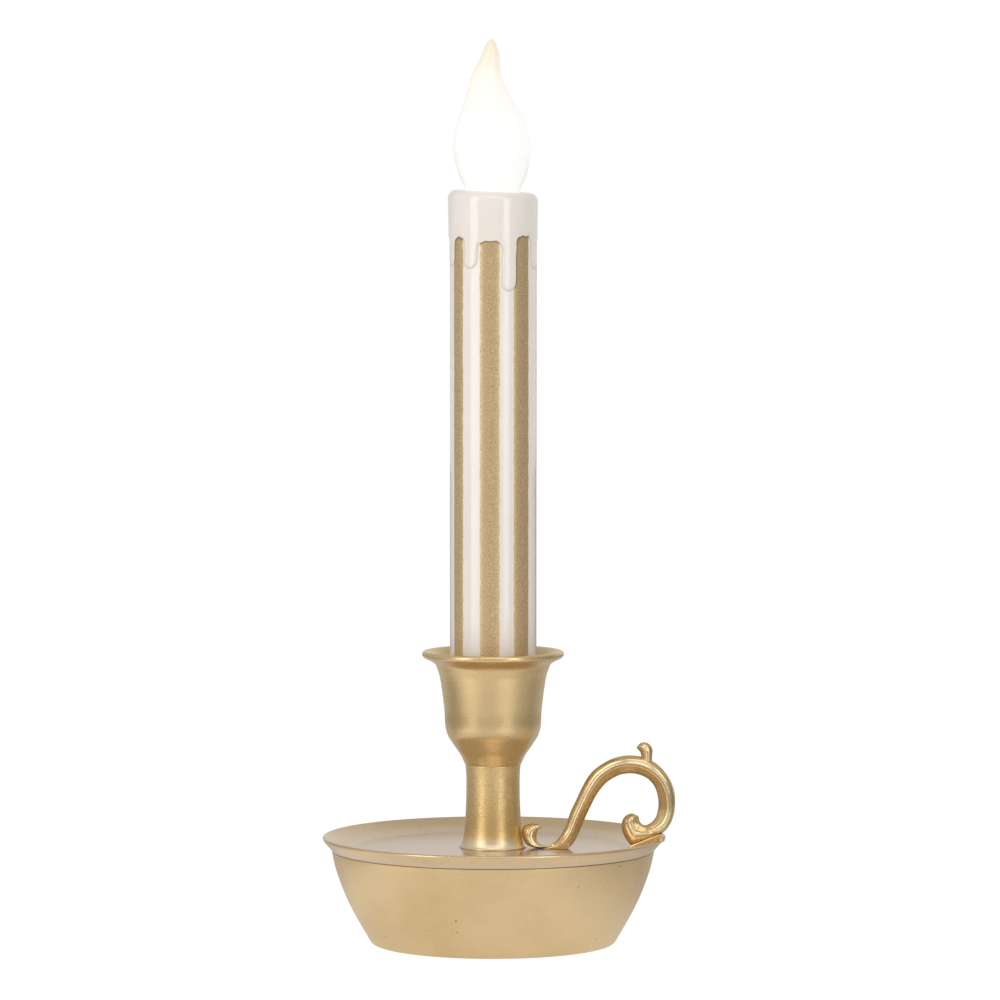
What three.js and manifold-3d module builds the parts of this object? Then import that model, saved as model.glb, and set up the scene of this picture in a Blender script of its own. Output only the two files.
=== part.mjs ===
// A battery-lit candle in a chamberstick: a deep saucer base closed by a shallow dish, a short stem, a
// bell-shaped cup, a striped candle sleeve with a frosted flame, and a cast scroll handle.
// Millimetres, +Z up. The table is z = 0. The handle points along +X.

import * as THREE from 'three';
import { mergeVertices } from 'three/addons/utils/BufferGeometryUtils.js';
import Module from 'manifold-3d';

const wasm = await Module();
wasm.setup();

// Clearances
const FIT = 0.3; // round a piece that slips into another
const SEAT = 0.1; // between flat faces that rest on each other
const SCREW_GAP = 0.2; // round a screw's shank or head

// Feet and base plate
const FOOT_R = 3.5;
const FOOT_PROUD = 0.6;
const FOOT_SUNK = 0.5;
const FOOT_INSET = 1.9; // from the plate's edge
const PLATE_T = 1.8;

// Two AAA cells, their contacts and the bay round them
const CELL_R = 5.25;
const CELL_L = 43.3;
const NUB_R = 1.9;
const NUB_L = 1.2;
const BAY_WALL = 1.4;
const CONTACT_T = 0.4;
const CONTACT_W = 8;
const CONTACT_H = 8;
const TAB_W = 3;
const SPRING_L = 5;
const SPRING_R = 2.6;
const SPRING_WIRE_R = 0.35;
const SPRING_TURNS = 3;
const CURL_STEPS = 8;
const WIRE_SIDES = 5;

// Battery door and its hinge pins
const DOOR_T = 1.6;
const DOOR_GAP = 0.35;
const HINGE_R = 1.1;
const PIN_R = 0.6;
const PIN_L = 1;
const PIN_GAP = 0.25;
const THUMB_NOTCH_R = 4;

// Slide switch
const SWITCH_L = 13;
const SWITCH_W = 6.4;
const SWITCH_H = 5;
const SWITCH_GAP = 3.95; // beside the bay
const SWITCH_TRAVEL = 4;
const SLIDER_L = 4;
const SLIDER_W = 2.8;
const SLIDER_H = 1.6;
const KNOB_L = 2.4;
const KNOB_W = 2;
const KNOB_SUNK = 0.2;

// Driver board on the bay's roof
const BOARD_L = 28;
const BOARD_W = 20;
const BOARD_T = 1.6;
const CHIP_L = 6;
const CHIP_W = 5;
const CHIP_H = 1.4;
const CHIP_INSET = 10; // from the board's end
const LEAD_R = 0.6;
const LEAD_Y = 1.2;
const LEAD_X = 6;
const LEAD_SAG = 1;
const LEAD_ROOM = 2.8; // between the board and the rod
const LEAD_STEPS = 44;

// Saucer bowl
const BOWL_WALL = 1.5;
const BOWL_FOOT_LIP = 1.3; // round the plate
const BOWL_HEEL_OUT = 1.7;
const BOWL_HEEL_H = 1.6;
const BOWL_SPREAD = 10.8; // from heel to top
const BOWL_BELLY = 1.45;
const BOWL_STEPS = 6;
const BOWL_INNER_STEPS = 3;
const FLANGE_T = 1.4;
const FLANGE_LAP = 1.8;
const FLANGE_ROOM = 1.4; // round the bay's corners

// Drip dish
const RIM_FLARE = 2.5;
const RIM_BAND_H = 4;
const RIM_LIP_R = 0.5;
const RIM_FLAT = 0.7;
const DISH_DEPTH = 3.3;
const DISH_SLOPE_W = 12.6;
const DISH_FLOOR_T = 1.6;
const SPIGOT_H = 0.8;
const SPIGOT_T = 1.4;
const POST_R = 2.8;
const POST_INSET = 2.7; // from the plate's edge
const POST_DEG = 62;

// Screws under the base and under the handle
const BASE_SCREW_R = 1.1;
const BASE_SCREW_L = 9;
const BASE_HEAD_R = 2.2;
const BASE_HEAD_T = 1;
const BASE_HEAD_SUNK = 0.2;
const HANDLE_SCREW_R = 0.8;
const HANDLE_SCREW_GRIP = 2.8;
const HANDLE_HEAD_R = 1.5;
const HANDLE_HEAD_T = 1;

// Rod, nuts and washers through stem and cup
const ROD_R = 4;
const ROD_BORE_R = 2.8;
const ROD_TAIL = 1.5;
const ROD_HEAD = 9;
const NUT_ACROSS = 13;
const NUT_T = 4;
const WASHER_R = 8;
const WASHER_T = 1;

// Stem and candle cup
const STEM_H = 24.2;
const STEM_FOOT_R = 9.8;
const STEM_NECK_R = 8.6;
const STEM_NECK_H = 2.9;
const STEM_HOLLOW = 0.2; // share of each flare left halfway up it
const STEM_WAIST_R = 7.75;
const STEM_WAIST_H = 18;
const STEM_TOP_R = 8.1;
const CUP_H = 33;
const CUP_FLOOR_T = 5.2;
const CUP_STEP = 0.2; // out from the stem's top
const CUP_WALL = 1.1;
const CUP_BELLY_RISE = 1.2; // over the candle's ledge
const CUP_TAPER = 1;
const CUP_FLARE = 5.7;
const CUP_FLARE_H = 10.9;
const CUP_LIP_T = 1.3;

// Candle sleeve with its run-wax cap
const CANDLE_R = 12.5;
const CANDLE_L = 153.7;
const CANDLE_WALL = 1.5;
const CANDLE_TOP_T = 1.5;
const CAP_H = 14.4;
const CAP_RELIEF = 0.45;
const CAP_SHOULDER_R = 2.6;
const PLUG_FLANGE_T = 2;
const PLUG_SPIGOT_H = 12;
const DRIP_W = 3.8;
const DRIP_ROOT = 1.5;
const DRIP_LENGTHS = [8.4, 14.7, 8.1, 11.5, 6.4, 13.2, 9.6, 7.2];
const FIRST_DRIP_DEG = -105;

// Lamp in the candle's top, and the flame over it
const HOLDER_CUP_H = 7;
const HOLDER_FLOOR_T = 4;
const HOLDER_WALL = 2.1;
const HOLDER_EYE_R = 3;
const LED_BOARD_T = 1.2;
const LED_R = 2.5;
const LED_BODY_H = 5;
const LED_COLLAR_R = 2.9;
const LED_COLLAR_H = 1;
const FLAME_SWELL = 3.65;
const FLAME_H = 43.8;
const FLAME_BULGE_H = 11.5;
const FLAME_BEND = 1.7;
const FLAME_WALL = 1;
const FLAME_COLLAR_LAP = 3; // round the flame's neck
const FLAME_COLLAR_T = 1.5;
const FLAME_SOLID_TIP = 9;
const FLAME_SIDES = 18;
const FLAME_STEPS = 16;

// Scroll handle: a keeled bar whose ring stands over the rim
const HANDLE_W = 4.8;
const HANDLE_FLATNESS = 0.92;
const HOOK_W = 3.7;
const HOOK_H = 6.4;
const HOOK_RUN = 11.7; // from the hook to the limb's heel
const HEEL_SCREW_X = 0.6; // short of the heel
const LIMB_RUN = 5.2;
const LIMB_H = 14.6;
const RING_R = 10.2;
const RING_INSET = 8.3;
const RING_GAP = 1.4; // under the ring's middle line
const LUG_T = 4.4;
const LUG_HEEL = 0.6; // inside the ring's middle
const LUG_OVERHANG = 0.8;
const LUG_RISE = 1.6;
const LUG_DROP = 2;
const BAR_SIDES = 8;
const SCROLL_STEPS = 76;
const FINIAL_STEPS = 12;

// Levels up the axis, each from the one below it
const plateBottom = FOOT_PROUD;
const plateTop = plateBottom + PLATE_T;
const doorTop = plateBottom + DOOR_T;
const hingeZ = plateBottom + HINGE_R;
const cellZ = hingeZ + HINGE_R + FIT + CELL_R;
const bayCeiling = cellZ + CELL_R + FIT;
const bayTop = bayCeiling + BAY_WALL;
const boardBottom = bayTop + SEAT;
const boardTop = boardBottom + BOARD_T;
const rodBottom = boardTop + LEAD_ROOM;
const lowerNutZ = rodBottom + ROD_TAIL;
const lowerWasherZ = lowerNutZ + NUT_T + SEAT;
const dishUnder = lowerWasherZ + WASHER_T + SEAT;
const dishTop = dishUnder + DISH_FLOOR_T;
const rimTop = dishTop + DISH_DEPTH;
const seamZ = rimTop - RIM_BAND_H;
const bowlTop = seamZ - SEAT;
const heelZ = plateBottom + BOWL_HEEL_H;
const flangeBottom = plateTop + SEAT;
const spigotBottom = Math.min(dishUnder, seamZ) - SPIGOT_H;
const stemBottom = dishTop + SEAT;
const cupBottom = stemBottom + STEM_H + SEAT;
const cupFloor = cupBottom + CUP_FLOOR_T;
const upperWasherZ = cupFloor + SEAT;
const upperNutZ = upperWasherZ + WASHER_T + SEAT;
const cupLedge = upperNutZ + NUT_T + SEAT;
const rodTop = upperNutZ + NUT_T + ROD_HEAD;
const plugBottom = cupLedge + SEAT;
const plugTop = plugBottom + PLUG_FLANGE_T;
const sleeveBottom = plugTop + SEAT;
const candleTop = sleeveBottom + CANDLE_L;
const capBottom = candleTop - CAP_H;
const candleCeiling = candleTop - CANDLE_TOP_T;
const collarTop = candleCeiling - SEAT;
const collarBottom = collarTop - FLAME_COLLAR_T;
const holderTop = collarBottom - SEAT;
const holderFloor = holderTop - HOLDER_CUP_H;
const ledBoardBottom = holderFloor + SEAT;
const ledBottom = ledBoardBottom + LED_BOARD_T + SEAT;

// Plan sizes shared by pieces that fit together
const cellY = CELL_R + FIT / 2;
const bayHalfW = cellY + CELL_R + FIT;
const cellSpan = CELL_L + NUB_L;
const bayHalfL = (cellSpan + SPRING_L + 3 * FIT) / 2 + CONTACT_T + SEAT;
const contactFace = bayHalfL - SEAT - CONTACT_T;
const doorHalfL = bayHalfL - DOOR_GAP;
const doorHalfW = bayHalfW - DOOR_GAP;
const hingeX = HINGE_R - doorHalfL;
const bayWallX = bayHalfL + BAY_WALL;
const bayWallY = bayHalfW + BAY_WALL;
const flangeR = Math.hypot(bayWallX, bayWallY) + FLANGE_ROOM;
const plateR = flangeR + FLANGE_LAP;
const bowlFootR = plateR + FIT + BOWL_FOOT_LIP;
const bowlHeelR = bowlFootR + BOWL_HEEL_OUT;
const bowlTopR = bowlHeelR + BOWL_SPREAD;
const spigotR = bowlRadius(spigotBottom) - BOWL_WALL - FIT;
const rimR = bowlTopR + RIM_FLARE;
const dishFlatR = rimR - DISH_SLOPE_W;
const footCircleR = plateR - FOOT_INSET - FOOT_R;
const postCircleR = plateR - POST_INSET - POST_R;
const switchY = -(bayWallY + SWITCH_GAP + SWITCH_W / 2);
const chipX = bayWallX - CHIP_INSET;
const rodHoleR = ROD_R + FIT;
const nutCornerR = NUT_ACROSS / Math.sqrt(3);
const pocketR = CANDLE_R + FIT;
const sleeveBoreR = CANDLE_R - CANDLE_WALL;
const cupBaseR = STEM_TOP_R + CUP_STEP;
const cupBellyR = pocketR + CUP_WALL;
const cupBellyH = cupLedge - cupBottom + CUP_BELLY_RISE;
const cupWaistR = cupBellyR + CUP_TAPER;
const cupWaistH = CUP_H - CUP_FLARE_H;
const cupLipR = cupWaistR + CUP_FLARE;
const flameCollarR = sleeveBoreR - FIT;
const flameNeckR = flameCollarR - FLAME_COLLAR_LAP;
const flameR = flameNeckR + FLAME_SWELL;
const flameHoleR = flameNeckR + FIT;
const holderCupR = sleeveBoreR - FIT - HOLDER_WALL;
const hookX = STEM_NECK_R + HOOK_W / 2 - FIT;
const heelX = hookX + HOOK_RUN;
const ringX = rimR - RING_INSET;
const ringZ = rimTop + RING_GAP + RING_R;
const handleScrewXs = {
  inner: heelX - HEEL_SCREW_X,
  outer: spigotR - SPIGOT_T - FIT - HANDLE_HEAD_R,
};

function onCircle(r, deg) {
  const turn = THREE.MathUtils.degToRad(deg);
  return [r * Math.cos(turn), r * Math.sin(turn)];
}

const FEET = [45, 135, 225, 315].map((deg) => onCircle(footCircleR, deg));
const POSTS = [POST_DEG, 180 - POST_DEG, 180 + POST_DEG, -POST_DEG].map((deg) => onCircle(postCircleR, deg));

const ROUND = 48; // facets round the saucer
const TURNED = 32; // facets round the stem, cup and candle
const SMALL = 12; // facets round small pieces

// A turned piece: the outline of [radius, height] points closes on itself and turns round +Z.
function turned(outline, facets) {
  const points = outline.map(([r, z]) => new THREE.Vector2(r, z));
  points.push(points[0].clone());
  return new THREE.LatheGeometry(points, facets).rotateX(Math.PI / 2);
}

function cylinder(r, z0, z1, x = 0, y = 0, facets = SMALL) {
  const geometry = new THREE.CylinderGeometry(r, r, z1 - z0, facets);
  return geometry.rotateX(Math.PI / 2).translate(x, y, (z0 + z1) / 2);
}

function ring(outerR, innerR, z0, z1, facets = SMALL) {
  return turned([[innerR, z0], [outerR, z0], [outerR, z1], [innerR, z1]], facets);
}

function box(x0, x1, y0, y1, z0, z1) {
  const geometry = new THREE.BoxGeometry(x1 - x0, y1 - y0, z1 - z0);
  return geometry.translate((x0 + x1) / 2, (y0 + y1) / 2, (z0 + z1) / 2);
}

// A closed mesh as a solid that can be joined and cut.
function solid(geometry) {
  const bare = geometry.clone();
  bare.deleteAttribute('normal');
  bare.deleteAttribute('uv');
  const merged = mergeVertices(bare, 1e-4);
  const vertProperties = new Float32Array(merged.attributes.position.array);
  const triVerts = new Uint32Array(merged.index.array);
  return new wasm.Manifold(new wasm.Mesh({ numProp: 3, vertProperties, triVerts }));
}

function geometryOf(manifold) {
  const { vertProperties, triVerts } = manifold.getMesh();
  const geometry = new THREE.BufferGeometry();
  geometry.setAttribute('position', new THREE.BufferAttribute(new Float32Array(vertProperties), 3));
  geometry.setIndex(Array.from(triVerts));
  geometry.computeVertexNormals();
  return geometry;
}

function joined(base, ...others) {
  return others.reduce((sum, geometry) => sum.add(solid(geometry)), solid(base));
}

function cut(manifold, ...tools) {
  return tools.reduce((rest, geometry) => rest.subtract(solid(geometry)), manifold);
}

const candlestick = new THREE.Group();

function add(name, shape, material) {
  const geometry = shape.isBufferGeometry ? shape : geometryOf(shape);
  const mesh = new THREE.Mesh(geometry, material);
  mesh.name = name;
  candlestick.add(mesh);
  return mesh;
}

function finish(color, roughness, metalness) {
  return () => new THREE.MeshStandardMaterial({ color, roughness, metalness });
}

const goldLacquer = finish('#c9ab78', 0.35, 0.9);
const castGold = finish('#d2b16f', 0.25, 0.95);
const ivory = finish('#f0e8de', 0.3, 0);
const frosted = finish('#fdf6e4', 0.5, 0);
const blackPlastic = finish('#26262a', 0.6, 0);
const rubber = finish('#1d1d1d', 0.9, 0);
const steel = finish('#b8bcc0', 0.3, 1);
const brass = finish('#b9974e', 0.3, 1);
const board = finish('#2f6b3c', 0.5, 0);
const cellWrap = finish('#5d6a78', 0.4, 0.2);
const redWire = finish('#a8231f', 0.5, 0);
const blackWire = finish('#1f1f22', 0.5, 0);
const clearResin = finish('#f4efe0', 0.1, 0);

// Base plate: a disc with the battery bay standing on it, open below for the door.
function basePlate() {
  const plate = joined(
    cylinder(plateR, plateBottom, plateTop, 0, 0, ROUND),
    box(-bayWallX, bayWallX, -bayWallY, bayWallY, plateTop - SEAT, bayTop),
  );
  const pinR = PIN_R + PIN_GAP;
  const pinReach = doorHalfW + PIN_L + FIT;
  const pinHole = new THREE.CylinderGeometry(pinR, pinR, 2 * pinReach, SMALL);
  pinHole.translate(hingeX, 0, hingeZ);
  const knobRoom = (KNOB_L + SWITCH_TRAVEL) / 2 + FIT;
  const knobHalfW = KNOB_W / 2 + FIT;
  const below = plateBottom - FIT;
  const above = plateTop + FIT;
  const screwSeat = plateBottom + BASE_HEAD_SUNK + BASE_HEAD_T;
  const footSeat = plateBottom + FOOT_SUNK + SEAT;
  const tabHalf = TAB_W / 2 + FIT;
  const slotX0 = contactFace - FIT;
  return cut(
    plate,
    box(-bayHalfL, bayHalfL, -bayHalfW, bayHalfW, below, bayCeiling),
    pinHole,
    cylinder(THUMB_NOTCH_R, below, doorTop, bayHalfL, 0),
    box(-knobRoom, knobRoom, switchY - knobHalfW, switchY + knobHalfW, below, above),
    box(slotX0, bayHalfL, cellY - tabHalf, cellY + tabHalf, bayCeiling - FIT, bayTop + FIT),
    box(slotX0, bayHalfL, -cellY - tabHalf, -cellY + tabHalf, bayCeiling - FIT, bayTop + FIT),
    ...POSTS.map(([x, y]) => cylinder(BASE_SCREW_R + SCREW_GAP, below, above, x, y)),
    ...POSTS.map(([x, y]) => cylinder(BASE_HEAD_R + SCREW_GAP, below, screwSeat, x, y)),
    ...FEET.map(([x, y]) => cylinder(FOOT_R + FIT, below, footSeat, x, y)),
  );
}

// Battery door: a flat lid with a hinge barrel along one end, stub pins and a thumb notch.
function batteryDoor() {
  const barrel = new THREE.CylinderGeometry(HINGE_R, HINGE_R, 2 * doorHalfW, SMALL);
  const pins = new THREE.CylinderGeometry(PIN_R, PIN_R, 2 * (doorHalfW + PIN_L), SMALL);
  const lid = joined(
    box(hingeX, doorHalfL, -doorHalfW, doorHalfW, plateBottom, doorTop),
    barrel.translate(hingeX, 0, hingeZ),
    pins.translate(hingeX, 0, hingeZ),
  );
  const notch = cylinder(THUMB_NOTCH_R, plateBottom - FIT, plateBottom + DOOR_T / 2, doorHalfL, 0);
  return cut(lid, notch);
}

function screw(shankR, shankL, headR, headT, seat, x, y) {
  return turned([[0, seat - headT], [headR, seat - headT], [headR, seat], [shankR, seat],
    [shankR, seat + shankL], [0, seat + shankL]], SMALL).translate(x, y, 0);
}

// A cell lies along X with its nub towards the given side.
function cell(side) {
  const outline = [[0, 0], [CELL_R, 0], [CELL_R, CELL_L], [NUB_R, CELL_L], [NUB_R, cellSpan], [0, cellSpan]];
  const geometry = turned(outline, SMALL).translate(0, 0, -cellSpan);
  const nubTip = side * (contactFace - FIT);
  return geometry.rotateY(side * Math.PI / 2).translate(nubTip, side * cellY, cellZ);
}

// A contact strip stands against the bay's end wall; its tab passes up to the driver board.
function endContact(y) {
  const strip = box(contactFace, contactFace + CONTACT_T, y - CONTACT_W / 2, y + CONTACT_W / 2,
    cellZ - CONTACT_H / 2, cellZ + CONTACT_H / 2);
  const tab = box(contactFace, contactFace + CONTACT_T, y - TAB_W / 2, y + TAB_W / 2,
    cellZ, boardBottom - SEAT);
  return joined(strip, tab);
}

function bridgeContact() {
  const reach = cellY + CONTACT_W / 2;
  return box(-contactFace - CONTACT_T, -contactFace, -reach, reach,
    cellZ - CONTACT_H / 2, cellZ + CONTACT_H / 2);
}

// A cell spring: one unbroken coiled wire between contact and cell.
function cellSpring(side) {
  const run = SPRING_L - 2 * SPRING_WIRE_R;
  const steps = SPRING_TURNS * CURL_STEPS;
  const points = [];
  for (let i = 0; i <= steps; i += 1) {
    const turn = (i / CURL_STEPS) * 2 * Math.PI;
    points.push(new THREE.Vector3(SPRING_WIRE_R + (run * i) / steps,
      SPRING_R * Math.cos(turn), SPRING_R * Math.sin(turn)));
  }
  const pitch = run / SPRING_TURNS;
  console.log(`cell spring: least gap between curls ${(pitch - 2 * SPRING_WIRE_R).toFixed(2)} mm`);
  const geometry = wire(points, SPRING_WIRE_R, WIRE_SIDES);
  if (side > 0) geometry.rotateZ(Math.PI);
  return geometry.translate(side * (contactFace - FIT), -side * cellY, cellZ);
}

// A round wire along points: rings joined in order, with flat ends.
function wire(points, r, sides) {
  const rings = points.map((p, i) => {
    const before = points[Math.max(i - 1, 0)];
    const after = points[Math.min(i + 1, points.length - 1)];
    const along = after.clone().sub(before).normalize();
    const across = new THREE.Vector3(1, 0, 0).cross(along).normalize();
    const up = along.clone().cross(across);
    return Array.from({ length: sides }, (_, k) => {
      const a = (k / sides) * 2 * Math.PI;
      return p.clone().addScaledVector(across, r * Math.cos(a)).addScaledVector(up, r * Math.sin(a));
    });
  });
  return skin(rings);
}

// A closed skin over rings of equal count, each end closed by a fan about its middle.
function skin(rings) {
  const sides = rings[0].length;
  const middle = (list) => list.reduce((sum, p) => sum.add(p), new THREE.Vector3()).divideScalar(sides);
  const vertices = [...rings.flat(), middle(rings[0]), middle(rings.at(-1))];
  const last = (rings.length - 1) * sides;
  const index = [];
  for (let k = 0; k < sides; k += 1) {
    const next = (k + 1) % sides;
    for (let i = 0; i < last; i += sides) {
      index.push(i + k, i + next, i + sides + next, i + k, i + sides + next, i + sides + k);
    }
    index.push(next, k, vertices.length - 2, last + k, last + next, vertices.length - 1);
  }
  const geometry = new THREE.BufferGeometry().setFromPoints(vertices);
  geometry.setIndex(index);
  geometry.computeVertexNormals();
  return geometry;
}

function switchBody() {
  const shell = box(-SWITCH_L / 2, SWITCH_L / 2, switchY - SWITCH_W / 2, switchY + SWITCH_W / 2,
    plateTop + SEAT, plateTop + SEAT + SWITCH_H);
  const roomL = (SLIDER_L + SWITCH_TRAVEL) / 2 + FIT;
  const roomW = SLIDER_W / 2 + FIT;
  const roomTop = plateTop + SLIDER_H + 2 * FIT;
  const room = box(-roomL, roomL, switchY - roomW, switchY + roomW, plateTop, roomTop);
  return cut(solid(shell), room);
}

// The slider rests at the lit end of its travel; its knob reaches down through the base plate.
function switchSlider() {
  const x = -SWITCH_TRAVEL / 2;
  const slideZ = plateTop + FIT;
  const block = box(x - SLIDER_L / 2, x + SLIDER_L / 2, switchY - SLIDER_W / 2, switchY + SLIDER_W / 2,
    slideZ, slideZ + SLIDER_H);
  const knob = box(x - KNOB_L / 2, x + KNOB_L / 2, switchY - KNOB_W / 2, switchY + KNOB_W / 2,
    plateBottom + KNOB_SUNK, slideZ + SEAT);
  return joined(block, knob);
}

// A lead runs from the driver board up through the rod to the lamp's board.
function lead(side) {
  const y = side * LEAD_Y;
  const route = new THREE.CatmullRomCurve3([
    new THREE.Vector3(LEAD_X, y, boardTop + LEAD_R),
    new THREE.Vector3(LEAD_X - 2.5 * LEAD_R, y, boardTop + 2 * LEAD_R),
    new THREE.Vector3(LEAD_SAG, y, rodBottom),
    new THREE.Vector3(0, y, lowerNutZ + NUT_T),
    new THREE.Vector3(0, y, rodTop),
    new THREE.Vector3(0, y, holderFloor - HOLDER_FLOOR_T),
    new THREE.Vector3(0, y, ledBoardBottom - SEAT),
  ]);
  const section = new THREE.Shape().absarc(0, 0, LEAD_R, 0, 2 * Math.PI);
  return new THREE.ExtrudeGeometry(section, { steps: LEAD_STEPS, curveSegments: 3, extrudePath: route });
}

// The bowl's outside swells a little between heel and top.
function bowlRadius(z) {
  const t = (z - heelZ) / (bowlTop - heelZ);
  return THREE.MathUtils.lerp(bowlHeelR, bowlTopR, t) + 4 * BOWL_BELLY * t * (1 - t);
}

function saucerBowl() {
  const flangeTop = flangeBottom + FLANGE_T;
  const heel = new THREE.Path().moveTo(bowlFootR, plateBottom);
  heel.quadraticCurveTo(bowlHeelR - BOWL_HEEL_OUT / 2, plateBottom, bowlHeelR, heelZ);
  const outside = [];
  const inside = [];
  for (let i = 1; i <= BOWL_STEPS; i += 1) {
    const z = THREE.MathUtils.lerp(heelZ, bowlTop, i / BOWL_STEPS);
    outside.push([bowlRadius(z), z]);
  }
  for (let i = BOWL_INNER_STEPS; i >= 0; i -= 1) {
    const z = THREE.MathUtils.lerp(flangeTop, bowlTop, i / BOWL_INNER_STEPS);
    inside.push([bowlRadius(z) - BOWL_WALL, z]);
  }
  return turned([
    [plateR + FIT, plateBottom],
    ...heel.getPoints(3).map((p) => [p.x, p.y]),
    ...outside,
    ...inside,
    [flangeR, flangeTop],
    [flangeR, flangeBottom],
    [plateR + FIT, flangeBottom],
  ], ROUND);
}

// The dish's upper face, from its rim lip in to the flat floor.
function dishFace() {
  const lipX = rimR - RIM_LIP_R;
  const lip = new THREE.Path().absarc(lipX, rimTop - RIM_LIP_R, RIM_LIP_R, -Math.PI / 5, Math.PI / 2);
  const slope = new THREE.Path().moveTo(lipX - RIM_FLAT, rimTop);
  slope.quadraticCurveTo(dishFlatR + 0.42 * DISH_SLOPE_W, dishTop + 0.1 * DISH_DEPTH, dishFlatR, dishTop);
  return [...lip.getPoints(2), ...slope.getPoints(4)].map((p) => [p.x, p.y]);
}

function dripDish() {
  const flare = new THREE.Path().moveTo(bowlTopR, seamZ);
  flare.quadraticCurveTo(bowlTopR + RIM_FLARE / 6, seamZ + RIM_BAND_H / 2,
    rimR - 3 * RIM_LIP_R, rimTop - 3 * RIM_LIP_R);
  const dish = turned([
    ...flare.getPoints(2).map((p) => [p.x, p.y]),
    ...dishFace(),
    [rodHoleR, dishTop],
    [rodHoleR, dishUnder],
    [spigotR - SPIGOT_T, dishUnder],
    [spigotR - SPIGOT_T, spigotBottom],
    [spigotR, spigotBottom],
    [spigotR, seamZ],
  ], ROUND);
  const postTop = dishUnder + DISH_FLOOR_T / 2;
  const posts = POSTS.map(([x, y]) => cylinder(POST_R, plateTop + SEAT, postTop, x, y));
  const pilotR = BASE_SCREW_R + SCREW_GAP;
  const pilotTop = plateTop + BASE_SCREW_L + FIT;
  const pilots = POSTS.map(([x, y]) => cylinder(pilotR, plateTop, pilotTop, x, y));
  const holeR = HANDLE_SCREW_R + SCREW_GAP;
  const screwHoles = Object.values(handleScrewXs).map((x) => cylinder(holeR, dishUnder - FIT, rimTop, x, 0));
  return cut(joined(dish, ...posts), ...pilots, ...screwHoles);
}

function stemOutline() {
  const path = new THREE.Path().moveTo(STEM_FOOT_R, 0);
  const footTurnR = THREE.MathUtils.lerp(STEM_NECK_R, STEM_FOOT_R, STEM_HOLLOW);
  const neckTurnR = THREE.MathUtils.lerp(STEM_WAIST_R, STEM_NECK_R, STEM_HOLLOW);
  path.quadraticCurveTo(footTurnR, STEM_NECK_H / 4, STEM_NECK_R, STEM_NECK_H);
  path.quadraticCurveTo(neckTurnR, STEM_WAIST_H / 2, STEM_WAIST_R, STEM_WAIST_H);
  path.quadraticCurveTo(STEM_WAIST_R, (STEM_WAIST_H + STEM_H) / 2, STEM_TOP_R, STEM_H);
  return path.getPoints(3).map((p) => [p.x, stemBottom + p.y]);
}

function stem() {
  return turned([[rodHoleR, stemBottom], ...stemOutline(), [rodHoleR, stemBottom + STEM_H]], TURNED);
}

// The cup: a bell outside, and inside a nut well, a candle pocket and a flared mouth.
function candleCup() {
  const wellR = Math.max(nutCornerR, WASHER_R) + FIT;
  const lipEdge = CUP_H - CUP_LIP_T;
  const lipInner = cupLipR - CUP_LIP_T;
  const swell = cupBellyR - cupBaseR;
  const bell = new THREE.Path().moveTo(cupBaseR, 0);
  bell.bezierCurveTo(cupBaseR + swell / 20, 0.3 * cupBellyH, cupBellyR - swell / 20, cupBellyH / 2,
    cupBellyR, cupBellyH);
  bell.lineTo(cupWaistR, cupWaistH);
  bell.quadraticCurveTo(cupWaistR + CUP_FLARE / 6, lipEdge - CUP_LIP_T, cupLipR - CUP_LIP_T / 4, lipEdge);
  const mouth = new THREE.Path().moveTo(lipInner, CUP_H - CUP_LIP_T / 8);
  mouth.quadraticCurveTo(pocketR + CUP_FLARE / 5, lipEdge - 0.8 * CUP_LIP_T, pocketR, cupWaistH);
  const up = (p) => [p.x, cupBottom + p.y];
  return turned([
    [rodHoleR, cupBottom],
    ...bell.getPoints(5).map(up),
    [cupLipR, cupBottom + CUP_H - CUP_LIP_T / 2],
    [cupLipR - CUP_LIP_T / 4, cupBottom + CUP_H],
    ...mouth.getPoints(4).map(up),
    [pocketR, cupLedge],
    [wellR, cupLedge],
    [wellR, cupFloor],
    [rodHoleR, cupFloor],
  ], TURNED);
}

function nut(z) {
  const hex = new THREE.Shape();
  for (let i = 0; i < 6; i += 1) {
    const corner = onCircle(nutCornerR, 60 * i);
    if (i === 0) hex.moveTo(...corner);
    else hex.lineTo(...corner);
  }
  hex.closePath();
  hex.holes.push(new THREE.Path().absarc(0, 0, rodHoleR, 0, 2 * Math.PI));
  const options = { depth: NUT_T, bevelEnabled: false, curveSegments: SMALL };
  return new THREE.ExtrudeGeometry(hex, options).translate(0, 0, z);
}

function candlePlug() {
  const spigotR = sleeveBoreR - FIT;
  return turned([[rodHoleR, plugBottom], [CANDLE_R, plugBottom], [CANDLE_R, plugTop], [spigotR, plugTop],
    [spigotR, plugTop + PLUG_SPIGOT_H], [rodHoleR, plugTop + PLUG_SPIGOT_H]], TURNED);
}

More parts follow.
